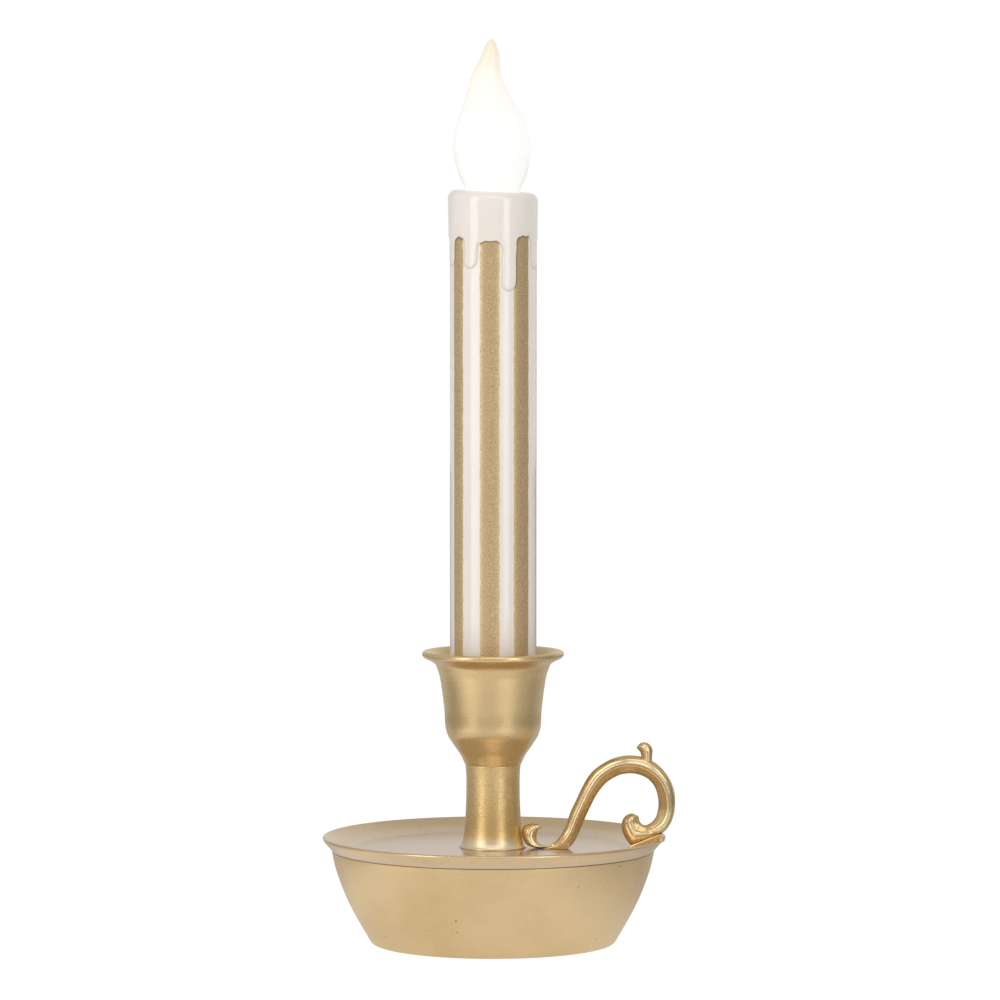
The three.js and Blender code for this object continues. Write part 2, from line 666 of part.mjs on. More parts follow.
// The sleeve: a thin tube whose top is thickened by a wax cap with runs down its sides.
function candleSleeve() {
  const capR = CANDLE_R + CAP_RELIEF;
  const shoulder = new THREE.Path();
  shoulder.absarc(capR - CAP_SHOULDER_R, candleTop - CAP_SHOULDER_R, CAP_SHOULDER_R, 0, Math.PI / 2);
  const tube = turned([
    [sleeveBoreR, sleeveBottom],
    [CANDLE_R, sleeveBottom],
    [CANDLE_R, capBottom],
    [capR, capBottom + 2 * CAP_RELIEF],
    ...shoulder.getPoints(2).map((p) => [p.x, p.y]),
    [flameHoleR, candleTop],
    [flameHoleR, candleCeiling],
    [sleeveBoreR, candleCeiling],
  ], TURNED);
  const runR = CANDLE_R + 0.9 * CAP_RELIEF;
  const facing = new THREE.Matrix4().makeBasis(
    new THREE.Vector3(0, 1, 0), new THREE.Vector3(0, 0, 1), new THREE.Vector3(1, 0, 0));
  return DRIP_LENGTHS.reduce((wax, length, i) => {
    const run = new THREE.Shape().moveTo(DRIP_W / 2, capBottom + DRIP_ROOT);
    run.lineTo(-DRIP_W / 2, capBottom + DRIP_ROOT);
    run.lineTo(-DRIP_W / 2, capBottom - length + DRIP_W / 2);
    run.absarc(0, capBottom - length + DRIP_W / 2, DRIP_W / 2, Math.PI, 2 * Math.PI);
    const depth = runR - sleeveBoreR;
    const block = new THREE.ExtrudeGeometry(run, { depth, bevelEnabled: false, curveSegments: 3 });
    block.applyMatrix4(facing).translate(sleeveBoreR + CANDLE_WALL / 2, 0, 0);
    block.rotateZ(THREE.MathUtils.degToRad(FIRST_DRIP_DEG + (i * 360) / DRIP_LENGTHS.length));
    const round = cylinder(runR, capBottom - length - DRIP_W, capBottom + 2 * DRIP_ROOT, 0, 0, TURNED);
    return wax.add(solid(block).intersect(solid(round)));
  }, solid(tube));
}

function lampHolder() {
  const bottom = holderFloor - HOLDER_FLOOR_T;
  const outer = sleeveBoreR - FIT;
  return turned([[HOLDER_EYE_R, bottom], [outer, bottom], [outer, holderTop], [holderCupR, holderTop],
    [holderCupR, holderFloor], [HOLDER_EYE_R, holderFloor]], TURNED);
}

function lampBulb() {
  const domeZ = ledBottom + LED_COLLAR_H + LED_BODY_H;
  const dome = new THREE.Path().absarc(0, domeZ, LED_R, 0, Math.PI / 2);
  return turned([[0, ledBottom], [LED_COLLAR_R, ledBottom], [LED_COLLAR_R, ledBottom + LED_COLLAR_H],
    [LED_R, ledBottom + LED_COLLAR_H], ...dome.getPoints(2).map((p) => [Math.max(p.x, 0), p.y])], SMALL);
}

// The flame swells over its neck, then narrows to a tip that leans aside and comes back.
function flameRadii() {
  const slim = FLAME_H - FLAME_BULGE_H;
  return new THREE.SplineCurve([
    new THREE.Vector2(flameNeckR, 0),
    new THREE.Vector2(flameNeckR + 0.68 * FLAME_SWELL, 0.42 * FLAME_BULGE_H),
    new THREE.Vector2(flameR, FLAME_BULGE_H),
    new THREE.Vector2(0.92 * flameR, FLAME_BULGE_H + 0.21 * slim),
    new THREE.Vector2(0.555 * flameR, FLAME_BULGE_H + 0.49 * slim),
    new THREE.Vector2(0.31 * flameR, FLAME_BULGE_H + 0.75 * slim),
    new THREE.Vector2(0.15 * flameR, FLAME_BULGE_H + 0.92 * slim),
    new THREE.Vector2(0, FLAME_H),
  ]);
}

function flameLean(height) {
  const t = THREE.MathUtils.clamp((height - FLAME_BULGE_H) / (FLAME_H - FLAME_BULGE_H), 0, 1);
  return -FLAME_BEND * Math.sin(Math.PI * t ** 1.6);
}

// The flame is a hollow shell, open at its collar; its tip is solid.
function flameDiffuser() {
  const ringAt = (r, height) => Array.from({ length: FLAME_SIDES }, (_, k) => {
    const [x, y] = onCircle(r, (k * 360) / FLAME_SIDES);
    return new THREE.Vector3(x + flameLean(height), y, candleTop + height);
  });
  const radii = flameRadii().getPoints(FLAME_STEPS);
  const collarDrop = collarBottom - candleTop;
  const neckDrop = collarTop - candleTop;
  const outside = skin([
    ringAt(flameCollarR, collarDrop),
    ringAt(flameCollarR, neckDrop),
    ringAt(flameNeckR, neckDrop),
    ...radii.slice(0, -1).map((p) => ringAt(p.x, p.y)),
    ringAt(radii.at(-2).x / 3, FLAME_H),
  ]);
  const hollow = skin([
    ringAt(flameNeckR - FLAME_WALL, collarDrop - FIT),
    ...radii.filter((p) => p.y < FLAME_H - FLAME_SOLID_TIP).map((p) => ringAt(p.x - FLAME_WALL, p.y)),
  ]);
  return cut(solid(outside), hollow);
}

// A keeled bar along (x, half width, z) points; rings stand square to the path in the XZ plane.
function keeledBar(points, steps) {
  const through = points.map((p) => new THREE.Vector3(...p));
  const path = new THREE.CatmullRomCurve3(through, false, 'centripetal');
  const stations = path.getSpacedPoints(steps);
  return skin(stations.map((p, i) => {
    const before = stations[Math.max(i - 1, 0)];
    const after = stations[Math.min(i + 1, steps)];
    const along = new THREE.Vector2(after.x - before.x, after.z - before.z).normalize();
    return Array.from({ length: BAR_SIDES }, (_, k) => {
      const [n, side] = onCircle(p.y, (k * 360) / BAR_SIDES);
      return new THREE.Vector3(p.x - along.y * n, -HANDLE_FLATNESS * side, p.z + along.x * n);
    });
  }));
}

// The handle: a hook beside the stem, a rising limb, a ring over the rim, a volute, a finial and a lug.
function handle() {
  const half = HANDLE_W / 2;
  const hook = HOOK_W / 2;
  const overRing = (right, w, up) => [ringX + right * RING_R, w, ringZ + up * RING_R];
  const onRing = ([deg, reach]) => {
    const [x, z] = onCircle(reach, deg);
    return overRing(x, half, z);
  };
  const scroll = keeledBar([
    [hookX + 0.2 * HOOK_RUN, 0.6 * hook, dishTop + HOOK_H],
    [hookX + 0.04 * HOOK_RUN, 0.87 * hook, dishTop + 0.9 * HOOK_H],
    [hookX, hook, dishTop + 0.6 * HOOK_H],
    [hookX + 0.07 * HOOK_RUN, 0.87 * hook, dishTop + 0.23 * HOOK_H],
    [hookX + 0.33 * HOOK_RUN, 0.55 * hook, dishTop + 0.05 * HOOK_H],
    [hookX + 0.72 * HOOK_RUN, 0.76 * hook, dishTop + 0.08 * HOOK_H],
    [heelX, half, dishTop + 0.36 * HOOK_H],
    [heelX + 0.41 * LIMB_RUN, 0.88 * half, dishTop + 0.55 * LIMB_H],
    [heelX + LIMB_RUN, 0.86 * half, dishTop + LIMB_H],
    overRing(-1.2, 0.92 * half, 0.29),
    overRing(-0.875, 0.96 * half, 0.69),
    overRing(-0.345, half, 0.94),
    ...[[90, 0.975], [66, 0.975], [34, 0.97], [4, 0.99], [-25, 1.045], [-45, 1.09], [-63, 1.04]].map(onRing),
    overRing(0.16, 1.15 * half, -0.98),
    overRing(-0.06, 1.12 * half, -0.8),
    overRing(0, 0.75 * half, -0.6),
    overRing(0.1, 0.3 * half, -0.55),
  ], SCROLL_STEPS);
  const finial = keeledBar([
    overRing(0.375, 0.76 * hook, 0.94),
    overRing(0.42, 0.73 * hook, 1.14),
    overRing(0.43, 0.76 * hook, 1.3),
    overRing(0.37, 0.86 * hook, 1.46),
    overRing(0.265, 0.78 * hook, 1.485),
    overRing(0.21, 0.6 * hook, 1.45),
  ], FINIAL_STEPS);
  const outline = new THREE.Shape().moveTo(ringX - LUG_HEEL, dishTop);
  outline.lineTo(rimR, dishTop);
  outline.lineTo(rimR + LUG_OVERHANG, rimTop - LUG_DROP);
  outline.lineTo(rimR + LUG_OVERHANG, rimTop + LUG_RISE);
  outline.lineTo(ringX + 0.75 * RING_R, ringZ - 0.7 * RING_R);
  outline.lineTo(ringX + 0.3 * RING_R, ringZ - 0.95 * RING_R);
  outline.lineTo(ringX - 0.28 * RING_R, ringZ - 0.78 * RING_R);
  outline.quadraticCurveTo(ringX - 0.3 * RING_R, rimTop + LUG_RISE / 4, ringX - LUG_HEEL, dishTop);
  const lug = new THREE.ExtrudeGeometry(outline, { depth: LUG_T, bevelEnabled: false, curveSegments: 4 });
  lug.rotateX(Math.PI / 2).translate(0, LUG_T / 2, 0);
  const face = dishFace().map(([r, z]) => [r > rimR - RIM_LIP_R ? r + SEAT : r, z + SEAT]);
  const dishRoom = turned([
    [0, dishUnder],
    [rimR + SEAT, dishUnder],
    [rimR + SEAT, rimTop - RIM_LIP_R],
    ...face.filter(([r, z]) => z > rimTop - RIM_LIP_R || r < rimR - RIM_LIP_R),
    [0, dishTop + SEAT],
  ], ROUND);
  const stemRoom = turned([[0, dishTop], [STEM_FOOT_R + FIT, dishTop],
    ...stemOutline().map(([r, z]) => [r + FIT, z]), [0, stemBottom + STEM_H]], TURNED);
  const pilotR = HANDLE_SCREW_R + SCREW_GAP;
  const pilotTop = dishTop + HANDLE_SCREW_GRIP + FIT;
  const pilots = Object.values(handleScrewXs).map((x) => cylinder(pilotR, dishUnder, pilotTop, x, 0));
  return cut(joined(scroll, finial, lug), dishRoom, stemRoom, ...pilots);
}

add('saucer_bowl', saucerBowl(), goldLacquer());
add('drip_dish', dripDish(), goldLacquer());
add('base_plate', basePlate(), blackPlastic());
add('battery_door', batteryDoor(), blackPlastic());
FEET.forEach(([x, y], i) => {
  add(`rubber_foot_${i + 1}`, cylinder(FOOT_R, 0, plateBottom + FOOT_SUNK, x, y), rubber());
});
POSTS.forEach(([x, y], i) => {
  const seat = plateBottom + BASE_HEAD_SUNK + BASE_HEAD_T - SEAT;
  const shape = screw(BASE_SCREW_R, BASE_SCREW_L, BASE_HEAD_R, BASE_HEAD_T, seat, x, y);
  add(`base_screw_${i + 1}`, shape, steel());
});
add('battery_cell_1', cell(1), cellWrap());
add('battery_cell_2', cell(-1), cellWrap());
add('contact_positive', endContact(cellY), steel());
add('contact_negative', endContact(-cellY), steel());
add('contact_bridge', bridgeContact(), steel());
add('cell_spring_1', cellSpring(-1), steel());
add('cell_spring_2', cellSpring(1), steel());
add('switch_body', switchBody(), blackPlastic());
add('switch_slider', switchSlider(), blackPlastic());
add('driver_board', box(bayWallX - BOARD_L, bayWallX, -BOARD_W / 2, BOARD_W / 2, boardBottom, boardTop),
  board());
add('driver_chip', box(chipX - CHIP_L / 2, chipX + CHIP_L / 2, -CHIP_W / 2, CHIP_W / 2,
  boardTop + SEAT, boardTop + SEAT + CHIP_H), blackPlastic());
add('lead_positive', lead(1), redWire());
add('lead_negative', lead(-1), blackWire());
add('lamp_rod', ring(ROD_R, ROD_BORE_R, rodBottom, rodTop), brass());
add('rod_nut_lower', nut(lowerNutZ), brass());
add('rod_washer_lower', ring(WASHER_R, rodHoleR, lowerWasherZ, lowerWasherZ + WASHER_T), brass());
add('rod_washer_upper', ring(WASHER_R, rodHoleR, upperWasherZ, upperWasherZ + WASHER_T), brass());
add('rod_nut_upper', nut(upperNutZ), brass());
add('stem', stem(), goldLacquer());
add('candle_cup', candleCup(), goldLacquer());
add('candle_plug', candlePlug(), ivory());
add('candle_sleeve', candleSleeve(), ivory());
add('lamp_holder', lampHolder(), ivory());
add('led_board', ring(holderCupR - FIT, LED_R / 2, ledBoardBottom, ledBoardBottom + LED_BOARD_T), board());
add('led', lampBulb(), clearResin());
add('flame_diffuser', flameDiffuser(), frosted());
const handleMesh = add('handle', handle(), castGold());
Object.entries(handleScrewXs).forEach(([place, x]) => {
  const seat = dishUnder - SEAT;
  const shank = DISH_FLOOR_T + SEAT + HANDLE_SCREW_GRIP;
  const shape = screw(HANDLE_SCREW_R, shank, HANDLE_HEAD_R, HANDLE_HEAD_T, seat, x, 0);
  add(`handle_screw_${place}`, shape, steel());
});

// The origin is the middle of the footprint box, so the axis stands a little to the side of it.
handleMesh.geometry.computeBoundingBox();
candlestick.position.x = (rimR - handleMesh.geometry.boundingBox.max.x) / 2;

export default candlestick;
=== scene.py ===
import math
import bmesh
import bpy
from mathutils import Matrix, Vector, noise
from mathutils.geometry import interpolate_bezier


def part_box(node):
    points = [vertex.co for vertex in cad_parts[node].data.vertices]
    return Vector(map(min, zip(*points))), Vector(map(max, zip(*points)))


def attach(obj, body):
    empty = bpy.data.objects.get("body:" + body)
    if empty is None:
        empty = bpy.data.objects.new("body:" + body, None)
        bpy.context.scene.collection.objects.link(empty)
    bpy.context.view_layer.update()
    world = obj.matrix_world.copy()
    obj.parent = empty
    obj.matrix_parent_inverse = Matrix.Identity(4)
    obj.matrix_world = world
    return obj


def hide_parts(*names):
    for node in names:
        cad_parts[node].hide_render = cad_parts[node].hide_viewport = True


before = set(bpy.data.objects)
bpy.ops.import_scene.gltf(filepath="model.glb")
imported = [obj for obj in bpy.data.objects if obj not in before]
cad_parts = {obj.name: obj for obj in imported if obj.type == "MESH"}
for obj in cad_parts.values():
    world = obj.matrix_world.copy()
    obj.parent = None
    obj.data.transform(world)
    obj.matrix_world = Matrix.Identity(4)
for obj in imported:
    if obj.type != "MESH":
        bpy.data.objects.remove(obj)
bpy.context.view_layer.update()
scene = bpy.context.scene


# The base plate is an injection-moulded black plastic disc that closes the bowl from below. It carries
# the battery bay and is held by four screws. Lengths here and below are in mm, unless a line says metres.
MM = 0.001
FLOW_SIZE = 18
MOULD_DEPTH = 0.03


def linear(colour):
    """A #rrggbb screen colour as the linear RGBA that shader sockets take."""
    channels = [int(colour[i:i + 2], 16) / 255 for i in (1, 3, 5)]
    return [c / 12.92 if c <= 0.04045 else ((c + 0.055) / 1.055) ** 2.4 for c in channels] + [1.0]


def plug(tree, socket, value):
    """Link a shader socket from another one, or set it to a constant."""
    if isinstance(value, bpy.types.NodeSocket):
        tree.links.new(value, socket)
    else:
        socket.default_value = value


def add_node(tree, kind, inputs, output=None, **settings):
    """One shader node: settings are its own options, inputs are constants or the sockets to link from."""
    node = tree.nodes.new("ShaderNode" + kind)
    for name, value in settings.items():
        setattr(node, name, value)
    for name, value in inputs.items():
        plug(tree, node.inputs[name], value)
    return node.outputs[output] if output else next(out for out in node.outputs if out.enabled)


def new_material(name):
    """An empty material: itself, its node tree, its main shader and the Object coordinates in metres."""
    material = bpy.data.materials.new(name)
    material.use_nodes = True
    tree = material.node_tree
    place = add_node(tree, "TexCoord", {}, output="Object")
    return material, tree, tree.nodes["Principled BSDF"], place


def feed(tree, shader, **inputs):
    """Set or link the main shader's inputs, written with _ for a space."""
    for name, value in inputs.items():
        plug(tree, shader.inputs[name.replace("_", " ")], value)


def dress(material, *nodes):
    """Give kept CAD nodes a material."""
    for name in nodes:
        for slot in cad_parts[name].material_slots:
            slot.material = material


def moulded(name, dark, pale, grain_mm, roughness):
    """Moulded plastic: an even fine grain in tone, gloss and bump, with broad faint flow clouds."""
    material, tree, shader, place = new_material(name)
    grain = add_node(tree, "TexNoise", {"Vector": place, "Scale": 1 / (grain_mm * MM), "Detail": 2.0})
    flow = add_node(tree, "TexNoise", {"Vector": place, "Scale": 1 / (FLOW_SIZE * MM), "Detail": 2.0})
    tone = add_node(tree, "Math", {0: grain, 1: flow}, operation="MULTIPLY")
    spread = add_node(tree, "MapRange", {"Value": tone, "From Min": 0.1, "From Max": 0.4})
    colour = add_node(tree, "MixRGB", {"Fac": spread, "Color1": linear(dark), "Color2": linear(pale)})
    gloss = add_node(tree, "MapRange", {"Value": grain, "To Min": roughness - 0.06,
                                        "To Max": roughness + 0.1})
    bump = add_node(tree, "Bump", {"Height": grain, "Strength": 0.25, "Distance": MOULD_DEPTH * MM})
    feed(tree, shader, Base_Color=colour, Roughness=gloss, Normal=bump)
    return material


# ABS from a spark-eroded mould: a soft dark sheen. Its grain is really finer, and is drawn coarse to show.
BLACK_PLASTIC = moulded("black_moulded_plastic", "#151517", "#26262a", grain_mm=0.3, roughness=0.5)
dress(BLACK_PLASTIC, "base_plate")


# The battery door and the switch are moulded in the same black plastic, as is the driver's chip. The door
# swings down on two pins and shows the cells behind it, and the switch's knob slides in its slot.
dress(BLACK_PLASTIC, "battery_door", "switch_body", "switch_slider", "driver_chip")


# Four moulded rubber feet are stuck to the plate. Each stands on a raised ring round a shallow hollow,
# and its edges are soft.
FOOT_SIDE = [(0, 0.3), (1.9, 0.28), (2.2, 0.16), (2.4, 0.03), (2.6, 0), (3, 0), (3.25, 0.06), (3.42, 0.22),
             (3.48, 0.5), (3.5, 1.1), (0, 1.1)]
FOOT_FACETS = 48
WELD = 0.002


def turned(outline, facets, centre):
    """A closed (radius, height) outline, spun once round an upright axis through a centre in metres."""
    bm = bmesh.new()
    verts = [bm.verts.new((centre.x + r * MM, centre.y, z * MM)) for r, z in outline]
    edges = [bm.edges.new(pair) for pair in zip(verts, verts[1:] + verts[:1])]
    bmesh.ops.spin(bm, geom=verts + edges, cent=centre, axis=(0, 0, 1), angle=math.tau, steps=facets,
                   use_merge=True)
    bmesh.ops.remove_doubles(bm, verts=bm.verts, dist=WELD * MM)
    bmesh.ops.recalc_face_normals(bm, faces=bm.faces)
    return bm


def spot_under(node):
    """The spot on the table under the middle of a CAD node, in metres."""
    low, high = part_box(node)
    return Vector(((low.x + high.x) / 2, (low.y + high.y) / 2, 0))


def piece(name, bm, material, node, crease=50):
    """Hand a finished mesh over: smooth shaded but for creases, on its body, in place of its CAD node."""
    mesh = bpy.data.meshes.new(name)
    bm.to_mesh(mesh)
    bm.free()
    mesh.materials.append(material)
    mesh.shade_smooth()
    mesh.set_sharp_from_angle(angle=math.radians(crease))
    obj = bpy.data.objects.new(name, mesh)
    scene.collection.objects.link(obj)
    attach(obj, "candlestick")
    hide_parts(node)


# Pressed rubber: matt, a little greyer where it is dusty. The grain is drawn coarser than it is.
BLACK_RUBBER = moulded("black_rubber", "#1b1a19", "#302e2c", grain_mm=0.5, roughness=0.78)
for node in ("rubber_foot_1", "rubber_foot_2", "rubber_foot_3", "rubber_foot_4"):
    piece(node + "_pad", turned(FOOT_SIDE, FOOT_FACETS, spot_under(node)), BLACK_RUBBER, node)


# Bright steel: the pressed contact plates, the coil springs, the handle's screws and four pan-head base
# screws with a cross recess. All are zinc plated.
TARNISH_SIZE = 3
SCRATCH_SIZE = 0.2
SCRATCH_DEPTH = 0.01
CROSS_ARM = 1.15
CROSS_HALF = 0.3
CROSS_DEPTH = 0.6
SHANK_R = 1.1
POINT_R = 0.55
POINT_L = 0.5
SCREW_FACETS = 36
HEAD_SIDE = [(1.45, 0), (1.85, 0.07), (2.08, 0.25), (2.19, 0.55), (2.19, 0.92), (2.1, 1), (1.1, 1)]


def worn_metal(name, dark, pale, roughness):
    """Plain metal with cloudy tarnish and fine scratches in its gloss."""
    material, tree, shader, place = new_material(name)
    cloud = add_node(tree, "TexNoise", {"Vector": place, "Scale": 1 / (TARNISH_SIZE * MM), "Detail": 4.0})
    fine = add_node(tree, "TexNoise", {"Vector": place, "Scale": 1 / (SCRATCH_SIZE * MM), "Detail": 2.0})
    colour = add_node(tree, "MixRGB", {"Fac": cloud, "Color1": linear(dark), "Color2": linear(pale)})
    gloss = add_node(tree, "MapRange", {"Value": fine, "To Min": roughness - 0.08,
                                        "To Max": roughness + 0.12})
    bump = add_node(tree, "Bump", {"Height": fine, "Strength": 0.15, "Distance": SCRATCH_DEPTH * MM})
    feed(tree, shader, Base_Color=colour, Metallic=1.0, Roughness=gloss, Normal=bump)
    return material


def grown_parts(grown, wanted):
    """The verts or the edges among what an extrusion has made."""
    return [part for part in grown["geom"] if isinstance(part, wanted)]


def far_edges(grown, verts):
    """The edges of an extrusion that run round its far end."""
    edges = grown_parts(grown, bmesh.types.BMEdge)
    return [edge for edge in edges if all(vert in verts for vert in edge.verts)]


def pan_head_screw(centre, low, top):
    """A screw that points up: a cross recess sunk in a domed head, then the shank and its point."""
    bm = bmesh.new()
    corners = [(CROSS_ARM, -CROSS_HALF), (CROSS_ARM, CROSS_HALF), (CROSS_HALF, CROSS_HALF)]
    cross = bmesh.ops.create_circle(bm, segments=4 * len(corners), radius=1)["verts"]
    for k, vert in enumerate(cross):
        arm, corner = divmod(k, len(corners))
        along, across = corners[corner]
        turn = Matrix.Rotation(math.radians(90 * arm), 3, "Z")
        vert.co = turn @ Vector((along * MM, across * MM, (low + CROSS_DEPTH) * MM))
    bm.faces.new(cross)
    walls = bmesh.ops.extrude_edge_only(bm, edges=bm.edges[:])
    brim = grown_parts(walls, bmesh.types.BMVert)
    bmesh.ops.translate(bm, verts=brim, vec=(0, 0, -CROSS_DEPTH * MM))
    inner = far_edges(walls, brim)
    flat = bmesh.ops.create_circle(bm, segments=SCREW_FACETS, radius=HEAD_SIDE[0][0] * MM)["verts"]
    bmesh.ops.translate(bm, verts=flat, vec=(0, 0, low * MM))
    ring = list({edge for vert in flat for edge in vert.link_edges})
    bmesh.ops.bridge_loops(bm, edges=inner + ring)
    before = HEAD_SIDE[0]
    for radius, height in HEAD_SIDE[1:] + [(SHANK_R, top - low - POINT_L), (POINT_R, top - low)]:
        grown = bmesh.ops.extrude_edge_only(bm, edges=ring)
        verts = grown_parts(grown, bmesh.types.BMVert)
        share = radius / before[0]
        bmesh.ops.scale(bm, verts=verts, vec=(share, share, 1))
        bmesh.ops.translate(bm, verts=verts, vec=(0, 0, (height - before[1]) * MM))
        ring = far_edges(grown, verts)
        before = (radius, height)
    bmesh.ops.holes_fill(bm, edges=ring)
    bmesh.ops.translate(bm, verts=bm.verts, vec=centre)
    bmesh.ops.recalc_face_normals(bm, faces=bm.faces)
    return bm


# Zinc plating: a cool pale grey with a soft shine, clouded by handling.
ZINC_STEEL = worn_metal("zinc_plated_steel", "#a9abad", "#d4d5d3", roughness=0.3)
dress(ZINC_STEEL, "handle_screw_inner", "handle_screw_outer", "contact_positive", "contact_negative",
      "contact_bridge", "cell_spring_1", "cell_spring_2")
for node in ("base_screw_1", "base_screw_2", "base_screw_3", "base_screw_4"):
    screw_lo, screw_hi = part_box(node)
    screw_mesh = pan_head_screw(spot_under(node), screw_lo.z / MM, screw_hi.z / MM)
    piece(node + "_body", screw_mesh, ZINC_STEEL, node, crease=35)


# Two AAA cells lie side by side in the bay, turned opposite ways: drawn steel cans in a plain plastic
# sleeve shrunk over both shoulders, with bare steel at the flat end and at the button.
CELL_SIDE = [(0, 0.2), (4.2, 0.2), (4.4, 0.06), (4.85, 0), (5.15, 0.2), (5.25, 0.6), (5.25, 42.5),
             (5.12, 43), (4.7, 43.28), (4.25, 43.2), (4.05, 42.95), (2.5, 42.95), (2.1, 43.05), (1.9, 43.3),
             (1.9, 44.2), (1.72, 44.44), (1.3, 44.5), (0, 44.5)]
CELL_FACETS = 64
STEEL_R = 4.3
SHRINK_SIZE = 1.2
SHRINK_DEPTH = 0.03


def shrunk_sleeve():
    """Smooth green film with faint shrink marks, and the can's bright steel where it is bare."""
    material, tree, shader, place = new_material("shrunk_cell_sleeve")
    bare = add_node(tree, "Attribute", {}, output="Fac", attribute_name="bare")
    steel = add_node(tree, "MapRange", {"Value": bare, "From Min": 0.3, "From Max": 0.7})
    marks = add_node(tree, "TexNoise", {"Vector": place, "Scale": 1 / (SHRINK_SIZE * MM), "Detail": 3.0})
    film = add_node(tree, "MixRGB", {"Fac": marks, "Color1": linear("#35493f"),
                                     "Color2": linear("#4d6659")})
    metal = add_node(tree, "MixRGB", {"Fac": marks, "Color1": linear("#a2a4a5"),
                                      "Color2": linear("#cfd0ce")})
    colour = add_node(tree, "MixRGB", {"Fac": steel, "Color1": film, "Color2": metal})
    gloss = add_node(tree, "MapRange", {"Value": marks, "To Min": 0.2, "To Max": 0.36})
    bump = add_node(tree, "Bump", {"Height": marks, "Strength": 0.1, "Distance": SHRINK_DEPTH * MM})
    feed(tree, shader, Base_Color=colour, Metallic=steel, Roughness=gloss, Normal=bump)
    return material


CELL_SLEEVE = shrunk_sleeve()
for node, button_turn in (("battery_cell_1", 90), ("battery_cell_2", -90)):
    cell_lo, cell_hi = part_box(node)
    cell_mesh = turned(CELL_SIDE, CELL_FACETS, Vector((0, 0, 0)))
    bare_layer = cell_mesh.verts.layers.float.new("bare")
    for vert in cell_mesh.verts:
        vert[bare_layer] = 1.0 if math.hypot(vert.co.x, vert.co.y) < STEEL_R * MM else 0.0
    lay_down = Matrix.Rotation(math.radians(button_turn), 3, "Y")
    bmesh.ops.rotate(cell_mesh, verts=cell_mesh.verts, cent=(0, 0, 0), matrix=lay_down)
    flat_end = cell_lo.x if button_turn > 0 else cell_hi.x
    cell_place = Vector((flat_end, (cell_lo.y + cell_hi.y) / 2, (cell_lo.z + cell_hi.z) / 2))
    bmesh.ops.translate(cell_mesh, verts=cell_mesh.verts, vec=cell_place)
    piece(node + "_can", cell_mesh, CELL_SLEEVE, node, crease=35)


# The driver board lies over the battery bay, and the round lamp board sits in the lamp holder. Both are
# pressed glass fibre under green solder lacquer, which looks smooth with a weave just showing.
GLASS_FIBRE = moulded("lacquered_glass_fibre", "#1d4a2e", "#356b45", grain_mm=0.6, roughness=0.35)
dress(GLASS_FIBRE, "driver_board", "led_board")


# Two leads run from the driver board up the hollow rod to the lamp. Each is copper strand in extruded PVC,
# red and black, which is smooth with a soft shine.
RED_PVC = moulded("red_insulation", "#8f1f1a", "#b2352c", grain_mm=0.4, roughness=0.42)
BLACK_PVC = moulded("black_insulation", "#121212", "#242424", grain_mm=0.4, roughness=0.42)
dress(RED_PVC, "lead_positive")
dress(BLACK_PVC, "lead_negative")


# A hollow threaded brass rod with nuts and washers clamps dish, stem and cup together. Brass is drawn to
# a warm bright yellow that dulls a little in the air.
DRAWN_BRASS = worn_metal("drawn_brass", "#9c7a38", "#c9a65a", roughness=0.28)
dress(DRAWN_BRASS, "lamp_rod", "rod_nut_lower", "rod_nut_upper", "rod_washer_lower", "rod_washer_upper")


# The plug in the candle's foot and the lamp holder in its top are moulded in the candle's own ivory
# plastic and pressed in. They are plainer than the sleeve, with a soft sheen.
IVORY_PLASTIC = moulded("ivory_moulded_plastic", "#ddd3c4", "#ece3d6", grain_mm=0.5, roughness=0.42)
dress(IVORY_PLASTIC, "candle_plug", "lamp_holder")


# The lamp itself is an LED, soldered to its board under the flame. Its case is cast in clear resin, which
# shines like wet glass.
CLEAR_RESIN = moulded("clear_cast_resin", "#d8d6cc", "#eceae2", grain_mm=0.8, roughness=0.12)
dress(CLEAR_RESIN, "led")


# The outer bowl is thin cast metal, spun true and sprayed in champagne lacquer. It stands on its rounded
# heel, and its walls lean out to a seam under the dish's rim.
stem_lo, stem_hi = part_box("stem")
AXIS_X = (stem_lo.x + stem_hi.x) / 2
axis = Vector((AXIS_X, 0, 0))
CLOUD_SIZE = 25
RING_LENGTH = 9
RING_WIDTH = 0.5
PIT_APART = 4
PIT_PICK = 0.66
REFLECTION_FADE = 1.2
BOWL_FACETS = 192
BOWL_OUTSIDE = [(34.3, 0.12), (35.05, 0.35), (35.75, 0.95), (36.6, 2.4), (38.7, 6), (40.9, 10), (42.8, 14),
                (44.4, 18), (45.75, 22), (46.6, 25.5), (46.88, 27.2)]
BOWL_INSIDE = [(46.7, 27.36), (45.7, 27.3), (45.1, 25), (44.2, 22), (42.9, 18), (41.3, 14), (39.3, 10),
               (37.1, 6), (35, 3), (33.4, 2.4), (33.4, 0.3), (33.6, 0.12)]


def smooth_line(knots, steps):
    """Points on a smooth curve through the knots, so many to each span."""
    points = [Vector(knot) for knot in knots]
    ends = [points[0]] + points + [points[-1]]
    line = []
    for before, start, end, after in zip(ends, ends[1:], ends[2:], ends[3:]):
        leave = start + (end - before) / 6
        arrive = end - (after - start) / 6
        line += interpolate_bezier(start, leave, arrive, end, steps + 1)[:-1]
    return line + [points[-1]]


